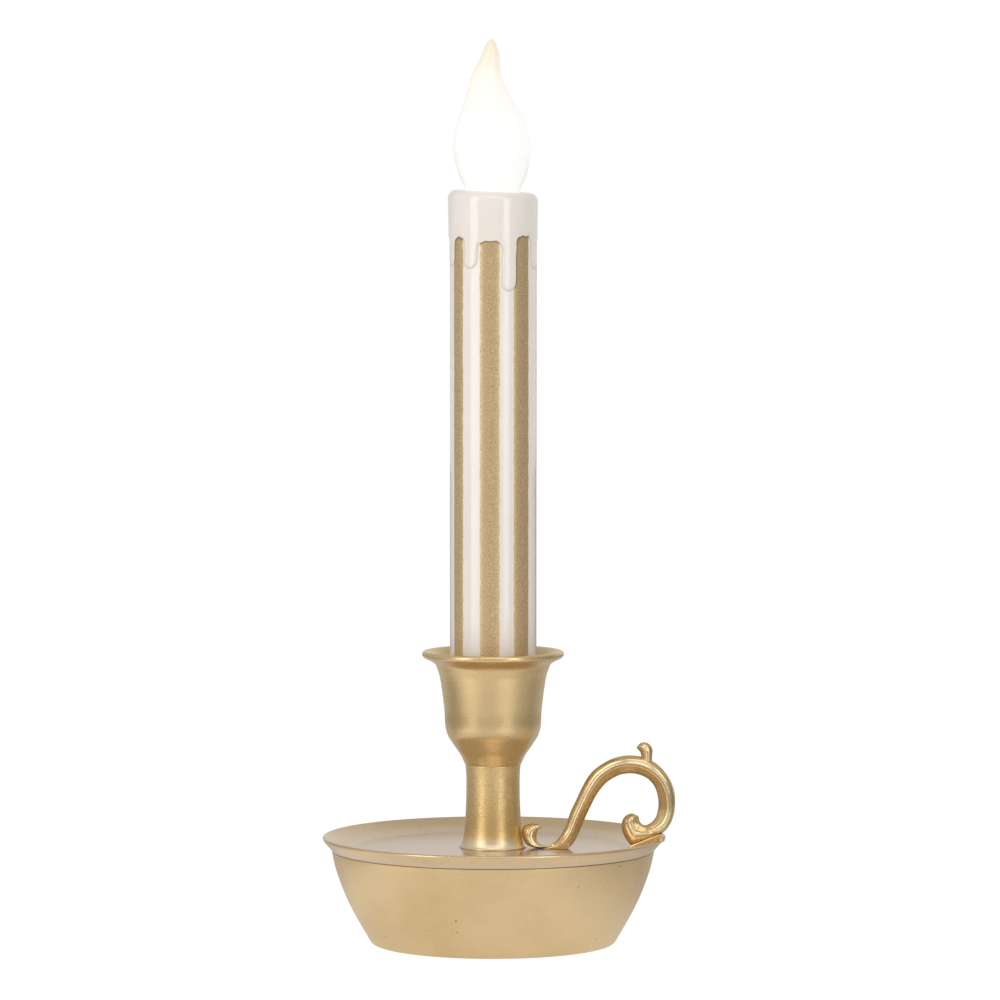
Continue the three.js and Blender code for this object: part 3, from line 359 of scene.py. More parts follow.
def gold_lacquer(name, pale, deep, roughness, flake_mm, flake, streak, metal=0.85, pinhole_mm=0, dent=0.08,
                 dent_mm=0.03, painted_highlight=None, painted_reflection=None, reflection_height=0):
    """Sprayed metallic lacquer: cloudy tone, flake that glitters a little, faint rings from turning.

    Real flake is about 0.05 mm, too fine to show, so it is drawn coarser.
    """
    material, tree, shader, place = new_material(name)
    cloud = add_node(tree, "TexNoise", {"Vector": place, "Scale": 1 / (CLOUD_SIZE * MM), "Detail": 3.0})
    grain = add_node(tree, "TexNoise", {"Vector": place, "Scale": 1 / (flake_mm * MM), "Detail": 2.0})
    squeeze = [1 / (length * MM) for length in (RING_LENGTH, RING_LENGTH, RING_WIDTH)]
    along = add_node(tree, "VectorMath", {0: place, 1: squeeze}, operation="MULTIPLY")
    rings = add_node(tree, "TexNoise", {"Vector": along, "Scale": 1.0, "Detail": 2.0})
    most = {"From Min": 0.3, "From Max": 0.7}
    base = add_node(tree, "MapRange", {"Value": cloud, **most})
    glitter = add_node(tree, "MapRange", {"Value": grain, **most, "To Min": -flake, "To Max": flake})
    lines = add_node(tree, "MapRange", {"Value": rings, **most, "To Min": -streak, "To Max": streak})
    tone = add_node(tree, "Math", {0: base, 1: glitter}, operation="ADD")
    tone = add_node(tree, "Math", {0: tone, 1: lines}, operation="ADD", use_clamp=True)
    colour = add_node(tree, "MixRGB", {"Fac": tone, "Color1": linear(deep), "Color2": linear(pale)})
    if pinhole_mm:
        cells = tree.nodes.new("ShaderNodeTexVoronoi")
        plug(tree, cells.inputs["Vector"], place)
        plug(tree, cells.inputs["Scale"], 1 / (PIT_APART * MM))
        picked = add_node(tree, "Math", {0: cells.outputs["Color"], 1: PIT_PICK}, operation="GREATER_THAN")
        pit_r = pinhole_mm / PIT_APART
        near = add_node(tree, "MapRange", {"Value": cells.outputs["Distance"], "From Max": 0.5 * pit_r,
                                           "From Min": pit_r})
        pit = add_node(tree, "Math", {0: near, 1: picked}, operation="MULTIPLY")
        colour = add_node(tree, "MixRGB", {"Fac": pit, "Color1": colour, "Color2": linear("#6b5434")})
    # Painted highlight: a paler colour mixed in where the mesh's attribute marks the handle's ridge or the
    # stem's foot.
    if painted_highlight:
        crest = add_node(tree, "Attribute", {}, output="Fac", attribute_name="painted_highlight")
        highlight_share = add_node(tree, "Math", {0: crest, 1: 0.7}, operation="MULTIPLY")
        colour = add_node(tree, "MixRGB", {"Fac": highlight_share, "Color1": colour, "Color2": linear(painted_highlight)})
    # Painted reflection: a paler, greyer colour at the given floor height, fading out just above it.
    if painted_reflection:
        height = add_node(tree, "SeparateXYZ", {"Vector": place}, output="Z")
        low = add_node(tree, "MapRange", {"Value": height, "From Min": (reflection_height + REFLECTION_FADE) * MM,
                                          "From Max": reflection_height * MM})
        colour = add_node(tree, "MixRGB", {"Fac": low, "Color1": colour, "Color2": linear(painted_reflection)})
    gloss = add_node(tree, "MapRange", {"Value": grain, "To Min": roughness - 0.07,
                                        "To Max": roughness + 0.07})
    relief = add_node(tree, "Math", {0: grain, 1: rings}, operation="ADD")
    bump = add_node(tree, "Bump", {"Height": relief, "Strength": dent, "Distance": dent_mm * MM})
    feed(tree, shader, Base_Color=colour, Metallic=metal, Roughness=gloss, Normal=bump)
    return material


# Satin spray: a soft broad highlight, a lively flake and a few brown pinholes.
BOWL_LACQUER = gold_lacquer("satin_champagne_lacquer", "#e7cc9e", "#d9bb8a", roughness=0.36, flake_mm=0.35,
                            flake=0.35, streak=0.06, pinhole_mm=0.3)
bowl_outline = smooth_line(BOWL_OUTSIDE, steps=4) + [Vector(knot) for knot in BOWL_INSIDE]
bowl_mesh = turned(bowl_outline, BOWL_FACETS, axis)
piece("saucer_bowl_skin", bowl_mesh, BOWL_LACQUER, "saucer_bowl")


# The drip dish is spun sheet, lacquered like the bowl, and drops into it on a spigot. Its rolled lip stands
# proud over the seam, and its flat floor is polished.
DISH_FLOOR = 28.12
DISH_EDGE = [(46.82, 27.42), (47.35, 28), (48.1, 28.85), (48.8, 29.65), (49.32, 30.32), (49.55, 30.8),
             (49.45, 31.18), (49.1, 31.4), (48.65, 31.33), (47.2, 30.6), (44.5, 29.45), (41.6, 28.62),
             (39.7, 28.14)]
DISH_UNDER = [(39.4, 28.1), (39, 28.1), (8, 28.1), (8, 26.5), (43.4, 26.5), (43.4, 25.7), (44.8, 25.7),
              (44.9, 27.4), (46.6, 27.4)]
dish_outline = smooth_line(DISH_EDGE, steps=5) + [Vector(knot) for knot in DISH_UNDER]
# Polished lacquer mirrors the stem softly. The flat floor has a painted reflection: a paler, greyer tone for
# the pale surroundings it mirrors.
DISH_LACQUER = gold_lacquer("polished_champagne_lacquer", "#e0c69c", "#d6bb91", roughness=0.25,
                            flake_mm=0.4, flake=0.08, streak=0.04, dent=0.01, painted_reflection="#d8c2a6",
                            reflection_height=DISH_FLOOR)
dish_mesh = turned(dish_outline, BOWL_FACETS, axis)
piece("drip_dish_skin", dish_mesh, DISH_LACQUER, "drip_dish")


# The stem is a short cast column, waisted, its foot flaring on to the dish. The rod inside clamps it
# between dish and cup.
STEM_SIDE = [(9.72, 28.15), (9.75, 28.45), (9.4, 28.85), (9, 29.7), (8.7, 30.7), (8.48, 31.8), (8.27, 33.5),
             (8.08, 36.5), (7.9, 40), (7.8, 43), (7.76, 48.4), (7.92, 51), (8.05, 52.2)]
STEM_BORE = [(7.9, 52.4), (5.6, 52.4), (5.6, 28.15)]
STEM_FACETS = 128
FOOT_TOP = 32.2
FOOT_FADE = 4
FOOT_HIGHLIGHT = 0.75


def clamp(value, low, high):
    """A value held between two bounds."""
    return min(max(value, low), high)


stem_outline = smooth_line(STEM_SIDE, steps=5) + [Vector(knot) for knot in STEM_BORE]
stem_mesh = turned(stem_outline, STEM_FACETS, axis)
# Painted highlight: the foot's flare is painted paler, fading out up the stem toward FOOT_TOP.
foot_highlight_layer = stem_mesh.verts.layers.float.new("painted_highlight")
for vert in stem_mesh.verts:
    vert[foot_highlight_layer] = clamp((FOOT_TOP - vert.co.z / MM) / FOOT_FADE, 0, FOOT_HIGHLIGHT)
# The casting's skin stays grainy under the lacquer, so it glitters more than the spun pieces.
STEM_LACQUER = gold_lacquer("grainy_cast_gold", "#f0d49e", "#d6b67c", roughness=0.36, flake_mm=0.45,
                            flake=0.5, streak=0.08, metal=0.92, dent=0.7, dent_mm=0.08, painted_highlight="#fff6df")
piece("stem_skin", stem_mesh, STEM_LACQUER, "stem")


# The candle cup is spun like a bell: a rounded belly on the stem, straight walls, a lip rolled outward.
# A pocket in it takes the candle's foot, and the rod's upper nut holds it down.
CUP_SIDE = [(8.15, 52.42), (8.45, 53.0), (8.75, 53.7), (9.6, 55.4), (10.8, 57.1), (12, 58.9), (13.05, 60.6),
            (13.65, 62.35), (13.95, 64.1), (14.1, 67.6), (14.45, 71), (14.9, 74.5), (15.5, 78),
            (16.05, 79.75), (16.75, 81.5), (17.8, 82.35), (19.1, 83.0), (20.05, 83.5), (20.55, 84.1),
            (20.55, 84.85), (20.1, 85.35), (19.3, 85.42), (18.2, 84.9), (16.6, 83.6), (15.2, 81.6),
            (14.1, 78.6), (13.2, 75.5), (12.85, 73.5)]
CUP_POCKET = [(12.85, 63.2), (8.3, 63.2), (8.3, 55.6), (5.6, 55.6), (5.6, 52.42)]
CUP_FACETS = 160
cup_outline = smooth_line(CUP_SIDE, steps=4) + [Vector(knot) for knot in CUP_POCKET]
# Lacquer over spun metal: a clear upright highlight, broken a little by rings from the spinning.
CUP_LACQUER = gold_lacquer("spun_champagne_lacquer", "#e8cd9a", "#dabd8c", roughness=0.29, flake_mm=0.4,
                           flake=0.25, streak=0.1)
cup_mesh = turned(cup_outline, CUP_FACETS, axis)
piece("candle_cup_skin", cup_mesh, CUP_LACQUER, "candle_cup")


# The handle is one metal casting: a hooked foot by the stem, a limb that rises into a ring, a volute on the
# rim and a small finial. A beaded ridge runs along its face, and two screws from below hold it.
HANDLE_HALF = 2.4
RIDGE_AT = 0.2
SECTION = [(1, 0), (0.97, 0.2), (0.87, 0.42), (0.7, 0.62), (0.53, 0.77), (0.45, 0.79), (0.37, 0.86),
           (0.29, 0.96), (0.2, 1), (0.11, 0.95), (0.03, 0.84), (-0.05, 0.79), (-0.12, 0.8), (-0.2, 0.73),
           (-0.4, 0.61), (-0.64, 0.46), (-0.86, 0.29), (-0.97, 0.13), (-1, 0)]
HIGHLIGHT_FROM = 0.74
END_TURNS = (90, 75, 58, 40, 20)
END_REACH = 0.8
SCROLL_OUTER = [(13.95, 33.95), (13.4, 33.3), (13.05, 32.5), (12.94, 31.65), (13, 30.75), (13.5, 29.9),
                (14.4, 29.3), (15.6, 29.1), (17, 29.35), (18.3, 30.05), (19.4, 31.3), (20.55, 33.2),
                (21.65, 35.3), (23, 39), (24.65, 42.5), (26.25, 45.95), (28.28, 49.5), (30.52, 51.87),
                (34.27, 54.29), (38.01, 55.53), (41.39, 55.78), (45.07, 55.22), (48.45, 53.44),
                (50.74, 51.16), (52.4, 48.7), (53.4, 46), (53.74, 43.1), (53.68, 40.64), (53.25, 38.4),
                (52.35, 36.05), (50.69, 33.85), (48.31, 32.35), (46.05, 31.4), (43.34, 30.35),
                (40.99, 29.71), (39.6, 30.99), (38.48, 33), (38, 35.2), (38.33, 36.92), (39.35, 38.29),
                (40.97, 38.94), (42.3, 38.5)]
SCROLL_INNER = [(12.9, 35.3), (11.7, 35.4), (10.2, 35.1), (8.95, 34.2), (8.55, 32.8), (8.85, 31),
                (9.95, 29.1), (12.3, 28.2), (15.4, 28.13), (18.8, 28.13), (21.8, 28.2), (23.66, 29.55),
                (25.35, 32.53), (27.2, 37), (28.88, 40.66), (30.71, 44.14), (33.07, 47.2), (35.07, 48.78),
                (37.57, 50.05), (39.49, 50.45), (41.1, 50.54), (42.87, 50.29), (45.08, 49.5),
                (46.75, 48.17), (47.93, 46.45), (48.58, 44.43), (48.88, 42.41), (48.74, 40.3),
                (48.18, 38.2), (47.15, 36.75), (45.92, 35.94), (45.05, 35.6), (44.36, 35.73),
                (43.77, 36.18), (43.45, 36.6), (43.33, 36.81), (43.27, 36.94), (43.24, 37.06), (43.21, 37.2),
                (43.18, 37.38), (43.12, 37.56), (43.01, 37.76)]
RIDGES = [0, 0, 0, 0.05, 0.1, 0.1, 0.05, 0.08, 0.1, 0.1, 0.02, -0.05, -0.1, -0.1, -0.1, -0.06, 0, 0.08,
          0.15, 0.2, 0.2, 0.22, 0.3, 0.38, 0.48, 0.58, 0.66, 0.72, 0.72, 0.62, 0.42, 0.25, 0.15, 0.05,
          -0.08, -0.14, -0.14, -0.1, -0.06, 0, 0, 0]
FINIAL_OUTER = [(46.92, 53.4), (47.06, 55.7), (47.12, 57.4), (46.7, 58.6), (45.8, 59.4), (44.68, 59.7),
                (43.53, 59.4), (42.74, 58.6)]
FINIAL_INNER = [(44.1, 53.6), (43.89, 55.1), (43.6, 56.5), (43.4, 56.95), (43.24, 57.15), (43.1, 57.35),
                (42.92, 57.5), (42.77, 57.75)]
FINIAL_RIDGE = 0.1
LUG = [(40.6, 28.4), (40.6, 29.7), (44, 31), (47, 32.3), (49.3, 33.3), (50.1, 33.2), (50.6, 32.6),
       (50.7, 31.6), (50.4, 30.8), (49.75, 30.7), (49.1, 31.3), (48.4, 31.1), (47.2, 30.45), (44.5, 29.3),
       (42.3, 28.72)]
SOLE = [(15, 28.12), (21.9, 28.12), (22.5, 28.5), (23, 29.4), (22.4, 30.2), (20.5, 30), (18, 28.9)]


def handle_section(ridge):
    """Shares of the width and of the thickness, once round, with the beaded ridge moved outward."""
    moved = []
    for out, side in SECTION:
        if out > RIDGE_AT:
            shift = (out - RIDGE_AT) * (1 - ridge) / (1 - RIDGE_AT)
        else:
            shift = (out - RIDGE_AT) * (1 + ridge) / (1 + RIDGE_AT)
        moved.append((ridge + shift, side))
    return moved + [(out, -side) for out, side in moved[-2:0:-1]]


def swept(bm, outer, inner, ridges, steps):
    """Wrap a grid round the band between two (x, z) edges, closed to a rounded point at each end."""
    painted_highlight = bm.verts.layers.float.get("painted_highlight") or bm.verts.layers.float.new("painted_highlight")
    pairs = list(zip(smooth_line(outer, steps), smooth_line(inner, steps)))
    path = [((one + two) / 2, (one - two) / 2) for one, two in pairs]
    crest = [knot.x for knot in smooth_line([(ridge, 0) for ridge in ridges], steps)]
    rounds = [math.radians(degrees) for degrees in END_TURNS]
    caps = []
    for (middle, half), (inside, _) in ((path[0], path[1]), (path[-1], path[-2])):
        away = (middle - inside).normalized() * half.length * END_REACH
        caps.append([(middle + away * math.sin(turn), half * math.cos(turn)) for turn in rounds])
    path = caps[0] + path + caps[1][::-1]
    crest = [crest[0]] * len(rounds) + crest + [crest[-1]] * len(rounds)
    sections = [handle_section(ridge) for ridge in crest]
    count = len(sections[0])
    grid = bmesh.ops.create_grid(bm, x_segments=len(path) - 1, y_segments=count, size=0.5)
    for vert in grid["verts"]:
        station = round((vert.co.x + 0.5) * (len(path) - 1))
        out, side = sections[station][round((vert.co.y + 0.5) * count) % count]
        middle, half = path[station]
        spot = middle + half * out
        vert.co = (AXIS_X + spot.x * MM, side * min(half.length, HANDLE_HALF) * MM, spot.y * MM)
        # Painted highlight: the attribute paints the faces paler near the beaded ridge.
        vert[painted_highlight] = max(0, abs(side) - HIGHLIGHT_FROM) / (1 - HIGHLIGHT_FROM)
    return bm


def side_plate(bm, outline, thick, rounding):
    """A flat (x, z) outline, extruded across the handle with its edges rounded."""
    near = [bm.verts.new((AXIS_X + x * MM, -thick / 2 * MM, z * MM)) for x, z in outline]
    far = grown_parts(bmesh.ops.extrude_face_region(bm, geom=[bm.faces.new(near)]), bmesh.types.BMVert)
    bmesh.ops.translate(bm, verts=far, vec=(0, thick * MM, 0))
    edges = {edge for vert in near + far for edge in vert.link_edges}
    bmesh.ops.bevel(bm, geom=list(edges), offset=rounding * MM, affect="EDGES", segments=3, profile=0.5,
                    material=-1, clamp_overlap=True)


handle_mesh = swept(bmesh.new(), SCROLL_OUTER, SCROLL_INNER, RIDGES, steps=4)
swept(handle_mesh, FINIAL_OUTER, FINIAL_INNER, [FINIAL_RIDGE] * len(FINIAL_OUTER), steps=5)
bmesh.ops.remove_doubles(handle_mesh, verts=handle_mesh.verts, dist=WELD * MM)
side_plate(handle_mesh, LUG, thick=3.8, rounding=0.4)
side_plate(handle_mesh, SOLE, thick=3, rounding=0.3)
bmesh.ops.recalc_face_normals(handle_mesh, faces=handle_mesh.faces)
# A brighter gold than the lacquer's, with sharp small highlights, and a painted highlight: paler colour
# along the ridge.
HANDLE_GOLD = gold_lacquer("bright_cast_gold", "#e6cd9c", "#d2b27c", roughness=0.22, flake_mm=0.6,
                           flake=0.2, streak=0.04, metal=0.92, painted_highlight="#fff4d6")
piece("handle_casting", handle_mesh, HANDLE_GOLD, "handle", crease=60)


# The candle is a moulded sleeve of ivory plastic that stands in the cup. A thicker skin runs down from its
# flared, slightly slanting top like wax. Seven stripes are sprayed gold, each crowned to catch the light.
CANDLE_R = 12.5
BORE_R = 11
HOLE_R = 8.05
HOLE_EDGE = 0.15
SLEEVE_BOTTOM = 65.2
PLAIN_ROWS = (SLEEVE_BOTTOM, 80, 95, 110, 125, 140, 155, 170, 182)
WAX_BOTTOM = 187
WAX_ROWS = 100
WAX_ROW = 0.2
CAP_ROWS = (207.5, 208.5, 210, 212, 214, 215.8)
CAP_UNDER = 217.4
CAP_TOP = 218.45
CAP_ROUND = 2.6
CAP_FLAT_R = 9
CAP_FLARE = 0.24
CAP_RISE = 0.2
CAP_SLANT = 0.048
CANDLE_FACETS = 400
NEAR_WALL = 0.3
BARE = -9
WAX_EDGE = 204.5
WAX_RELIEF = 0.36
WAX_SHOULDER = 0.8
EDGE_WAVE = 0.4
WAVE_RATE = 9
WAVE_PLACE = 7
RUN_HALF = 2.1
RUN_FILLET = 2.6
RUN_SWAY = 0.35
SWAY_RATE = 0.16
SWAY_APART = 5.0
SWAY_PLACE = 1
FIRST_RUN = -105
RUN_PITCH = 45
RUNS = [7.8, 14.3, 8.1, 11.5, 6.4, 13.2, 9.6, 7.2]
RUN_SHIFTS = [-4.3, 4.2, 7.5, -2, 0, 2.5, -1, 1]
CROWN_EDGE = 1.2
CROWN_SLOPE = 0.17
# Each stripe's middle and half width in degrees round the candle, and how far the wax above it lifts.
STRIPES = [(-131.6, 9.9, 1.1), (-82.4, 12.9, -0.1), (-36.2, 12.9, 1.4), (16.5, 12.2, 0.3), (69, 13, 0.9),
           (121.5, 12.4, 0), (174, 12.8, 0.7)]


def turned_from(angle, degrees):
    """The turn from a place round the candle, given in degrees, the short way, in radians."""
    return (angle - math.radians(degrees) + math.pi) % math.tau - math.pi


def wax_depth(angle, z):
    """How far inside the wax a spot on the sleeve lies; less than nothing is bare sleeve."""
    wave = noise.noise(Vector((WAVE_RATE * math.cos(angle), WAVE_RATE * math.sin(angle), WAVE_PLACE)))
    lift = min((abs(turned_from(angle, middle)), lift) for middle, _, lift in STRIPES)[1]
    away = WAX_EDGE + lift + EDGE_WAVE * wave - z
    for k, (length, shift) in enumerate(zip(RUNS, RUN_SHIFTS)):
        turn = turned_from(angle, FIRST_RUN + RUN_PITCH * k + shift)
        bottom = WAX_EDGE - length + RUN_HALF
        sway = RUN_SWAY * noise.noise(Vector((SWAY_RATE * z, SWAY_APART * k, SWAY_PLACE)))
        side = CANDLE_R * turn + sway
        run = math.hypot(side, max(0, bottom - z)) - RUN_HALF
        blend = max(RUN_FILLET - abs(away - run), 0) / RUN_FILLET
        away = min(away, run) - RUN_FILLET / 4 * blend * blend
    return -away


def stripe_depth(angle):
    """How far inside a painted stripe a line down the sleeve lies; less than nothing is ivory."""
    depths = [math.radians(half) - abs(turned_from(angle, middle)) for middle, half, _ in STRIPES]
    return CANDLE_R * max(depths)


candle_rows = [(CANDLE_R, z) for z in PLAIN_ROWS]
candle_rows += [(CANDLE_R, WAX_BOTTOM + WAX_ROW * row) for row in range(WAX_ROWS)]
candle_rows += [(CANDLE_R, z) for z in CAP_ROWS]
for degrees in range(10, 91, 10):
    lean = math.radians(degrees)
    candle_rows.append((CANDLE_R - CAP_ROUND + CAP_ROUND * math.cos(lean),
                        CAP_TOP - CAP_ROUND + CAP_ROUND * math.sin(lean)))
candle_rows += [(CAP_FLAT_R, CAP_TOP), (HOLE_R + HOLE_EDGE, CAP_TOP), (HOLE_R, CAP_TOP - HOLE_EDGE),
                (HOLE_R, CAP_UNDER), (BORE_R, CAP_UNDER), (BORE_R, SLEEVE_BOTTOM)]
sleeve_mesh = turned(candle_rows, CANDLE_FACETS, axis)
wax_layer = sleeve_mesh.verts.layers.float.new("wax")
stripe_layer = sleeve_mesh.verts.layers.float.new("stripe")
for vert in sleeve_mesh.verts:
    x, y, z = vert.co.x / MM - AXIS_X / MM, vert.co.y / MM, vert.co.z / MM
    radius = math.hypot(x, y)
    angle = math.atan2(y, x)
    in_bore = radius < BORE_R + NEAR_WALL and z < CAP_UNDER + NEAR_WALL
    inside = in_bore or radius < HOLE_R + NEAR_WALL
    depth = BARE if inside or z < WAX_BOTTOM else wax_depth(angle, z)
    stripe = BARE if inside else stripe_depth(angle)
    up = clamp((z - WAX_EDGE) / (CAP_TOP - WAX_EDGE), 0, 1)
    share = math.sqrt(1 - (1 - clamp(depth, 0, WAX_SHOULDER) / WAX_SHOULDER) ** 2)
    inset = clamp(stripe, 0, CROWN_EDGE)
    crown = CROWN_SLOPE * (inset - inset * inset / (2 * CROWN_EDGE))
    swell = (WAX_RELIEF + CAP_FLARE * up) * share + crown * (1 - share)
    vert[wax_layer] = depth
    vert[stripe_layer] = stripe
    vert.co.x += swell * x / radius * MM
    vert.co.y += swell * y / radius * MM
    vert.co.z += up * (CAP_RISE - CAP_SLANT * x) * MM
bmesh.ops.recalc_face_normals(sleeve_mesh, faces=sleeve_mesh.faces)

IVORY_CLOUD = 14
WAVER_SIZE = 3
WAVER = 0.35
LEAF_SIZE = 0.34
PAINT_DEPTH = 0.06


def candle_plastic():
    """Glossy ivory with gold painted stripes: crisp wavering edges, leafy grain, and a painted shadow, a
    brown line just below the wax's edge.

    The paint's flake is really finer than a hair, and is drawn coarse to show.
    """
    material, tree, shader, place = new_material("ivory_plastic_with_gold_stripes")
    wax = add_node(tree, "Attribute", {}, output="Fac", attribute_name="wax")
    edge = add_node(tree, "Attribute", {}, output="Fac", attribute_name="stripe")
    waver = add_node(tree, "TexNoise", {"Vector": place, "Scale": 1 / (WAVER_SIZE * MM), "Detail": 3.0})
    shift = add_node(tree, "MapRange", {"Value": waver, "To Min": -WAVER, "To Max": WAVER})
    painted = add_node(tree, "Math", {0: edge, 1: shift}, operation="ADD")
    stripe = add_node(tree, "MapRange", {"Value": painted, "From Min": -0.06, "From Max": 0.06})
    bare = add_node(tree, "MapRange", {"Value": wax, "From Min": 0.05, "From Max": -0.08})
    paint = add_node(tree, "Math", {0: stripe, 1: bare}, operation="MULTIPLY")
    # Painted shadow: a brown band on the bare sleeve just below the wax's raised edge, faint on ivory and
    # darker on gold.
    under = add_node(tree, "MapRange", {"Value": wax, "From Min": -0.5, "From Max": -0.05})
    lip = add_node(tree, "MapRange", {"Value": wax, "From Min": 0.15, "From Max": 0.0})
    line = add_node(tree, "Math", {0: under, 1: lip}, operation="MULTIPLY")
    cloud = add_node(tree, "TexNoise", {"Vector": place, "Scale": 1 / (IVORY_CLOUD * MM), "Detail": 2.0})
    ivory = add_node(tree, "MixRGB", {"Fac": cloud, "Color1": linear("#eee5db"),
                                      "Color2": linear("#f4ece2")})
    shadow_share = add_node(tree, "Math", {0: line, 1: 0.26}, operation="MULTIPLY")
    ivory = add_node(tree, "MixRGB", {"Fac": shadow_share, "Color1": ivory, "Color2": linear("#a98a58")})
    leaf = add_node(tree, "TexNoise", {"Vector": place, "Scale": 1 / (LEAF_SIZE * MM), "Detail": 3.0})
    leafy = add_node(tree, "MapRange", {"Value": leaf, "From Min": 0.29, "From Max": 0.71})
    gold = add_node(tree, "MixRGB", {"Fac": leafy, "Color1": linear("#b9986a"),
                                     "Color2": linear("#ecd1a2")})
    gold = add_node(tree, "MixRGB", {"Fac": line, "Color1": gold, "Color2": linear("#7d5f30")})
    colour = add_node(tree, "MixRGB", {"Fac": paint, "Color1": ivory, "Color2": gold})
    gloss = add_node(tree, "MapRange", {"Value": paint, "To Min": 0.08, "To Max": 0.42})
    rough = add_node(tree, "Math", {0: leaf, 1: paint}, operation="MULTIPLY")
    relief = add_node(tree, "Math", {0: rough, 1: paint}, operation="SUBTRACT")
    bump = add_node(tree, "Bump", {"Height": relief, "Strength": 0.2, "Distance": PAINT_DEPTH * MM})
    metal = add_node(tree, "Math", {0: paint, 1: 0.6}, operation="MULTIPLY")
    feed(tree, shader, Base_Color=colour, Metallic=metal, Roughness=gloss, Normal=bump, IOR=1.6)
    return material


piece("candle_sleeve_skin", sleeve_mesh, candle_plastic(), "candle_sleeve", crease=60)


# The flame is a blown shell of frosted plastic, plugged into the candle's top and lit from inside by the
# lamp. It fills out over its neck and narrows to a tip that leans aside and comes back.
FLAME_BOTTOM = 217.2
FLAME_SIDE = [(7.7, FLAME_BOTTOM), (7.7, 218.6), (8.3, 220.2), (9.95, 223.7), (10.95, 227.8), (11.3, 230.5),
              (11.2, 232.7), (10.4, 237.3), (8.7, 241.4), (6.35, 246.3), (4.75, 250.7), (3.5, 254.7),
              (2.65, 257.6), (1.8, 260), (1.05, 261.7), (0, 262.6)]
FLAME_FACETS = 112
# How far the flame leans aside, as (height, lean).
LEAN = [(222, 0), (232.6, 0.3), (237.6, 0.42), (242.7, 0.92), (247.7, 1.6), (252.7, 1.79), (257.8, 0.74),
        (260.5, 0.55), (262.7, 0.55)]
WARM_FROM, WARM_TO = 238, 254
TIP_FROM, TIP_TO = 252, 263
FROST_SIZE = 0.5
FROST_DEPTH = 0.02
flame_outline = smooth_line(FLAME_SIDE, steps=5) + [Vector((0, FLAME_BOTTOM))]
flame_mesh = turned(flame_outline, FLAME_FACETS, axis)
lean_line = smooth_line(LEAN, steps=8)
for vert in flame_mesh.verts:
    z = vert.co.z / MM
    for low, high in zip(lean_line, lean_line[1:]):
        if low.x <= z < high.x:
            vert.co.x -= (low.y + (high.y - low.y) * (z - low.x) / (high.x - low.x)) * MM


def lit_frosted_plastic():
    """A glowing frosted skin: near white where the lamp is close, warmer and dimmer toward the tip.

    The shell's own gloss, its coat, dims the glow to a faint line along the edges.
    """
    material, tree, shader, place = new_material("lit_frosted_plastic")
    height = add_node(tree, "SeparateXYZ", {"Vector": place}, output="Z")
    frost = add_node(tree, "TexNoise", {"Vector": place, "Scale": 1 / (FROST_SIZE * MM), "Detail": 2.0})
    warm = add_node(tree, "MapRange", {"Value": height, "From Min": WARM_FROM * MM,
                                       "From Max": WARM_TO * MM})
    tip = add_node(tree, "MapRange", {"Value": height, "From Min": TIP_FROM * MM, "From Max": TIP_TO * MM})
    glow = add_node(tree, "MixRGB", {"Fac": warm, "Color1": linear("#fffffd"), "Color2": linear("#fcf5e2")})
    glow = add_node(tree, "MixRGB", {"Fac": tip, "Color1": glow, "Color2": linear("#ead9b3")})
    bump = add_node(tree, "Bump", {"Height": frost, "Strength": 0.1, "Distance": FROST_DEPTH * MM})
    shade = add_node(tree, "MixRGB", {"Fac": frost, "Color1": linear("#8f8d88"),
                                      "Color2": linear("#9b9994")})
    feed(tree, shader, Base_Color=shade, Emission_Color=glow, Emission_Strength=0.76, Roughness=0.6,
         Normal=bump, Coat_Weight=0.7, Coat_Roughness=0.15)
    return material


piece("flame_shell", flame_mesh, lit_frosted_plastic(), "flame_diffuser")


# The studio, in metres: a white table, two tall soft boxes either side of the camera, one overhead, a pale
# tent round the rest. The camera has a long lens and stands a little above the candle's middle.
CAMERA_DEGREES = 12
CAMERA_AWAY = 1.682
CAMERA_HEIGHT = 0.2324
AIM_RIGHT = 0.00203
AIM_HEIGHT = 0.12926
SENSOR_MM = 36
LENS_MM = 209.25
LAMP_AIM = 0.12
camera_turn = math.radians(CAMERA_DEGREES)
camera_right = Vector((math.cos(camera_turn), math.sin(camera_turn), 0))
camera_back = Vector((math.sin(camera_turn), -math.cos(camera_turn), 0))

TABLE_R = 2.5
FIBRE_SIZE = 2
TABLE_SEEN = 1.13
TABLE_DIM = 0.15
TABLE_GLOW = 0.84
# Where the table throws light back at the metal: how far toward the camera and to its right, the radius
# of the bright middle, the radius where it ends, and its brightness.
TABLE_POOLS = [(0.05, -0.035, 0.07, 0.2, 0.88), (0.12, -0.16, 0.04, 0.19, 1.3),
               (0.166, 0.092, 0.04, 0.14, 1.3), (0.3, 0, 0.15, 0.5, 0.78), (-0.4, 0, 0.3, 0.5, 0.55)]


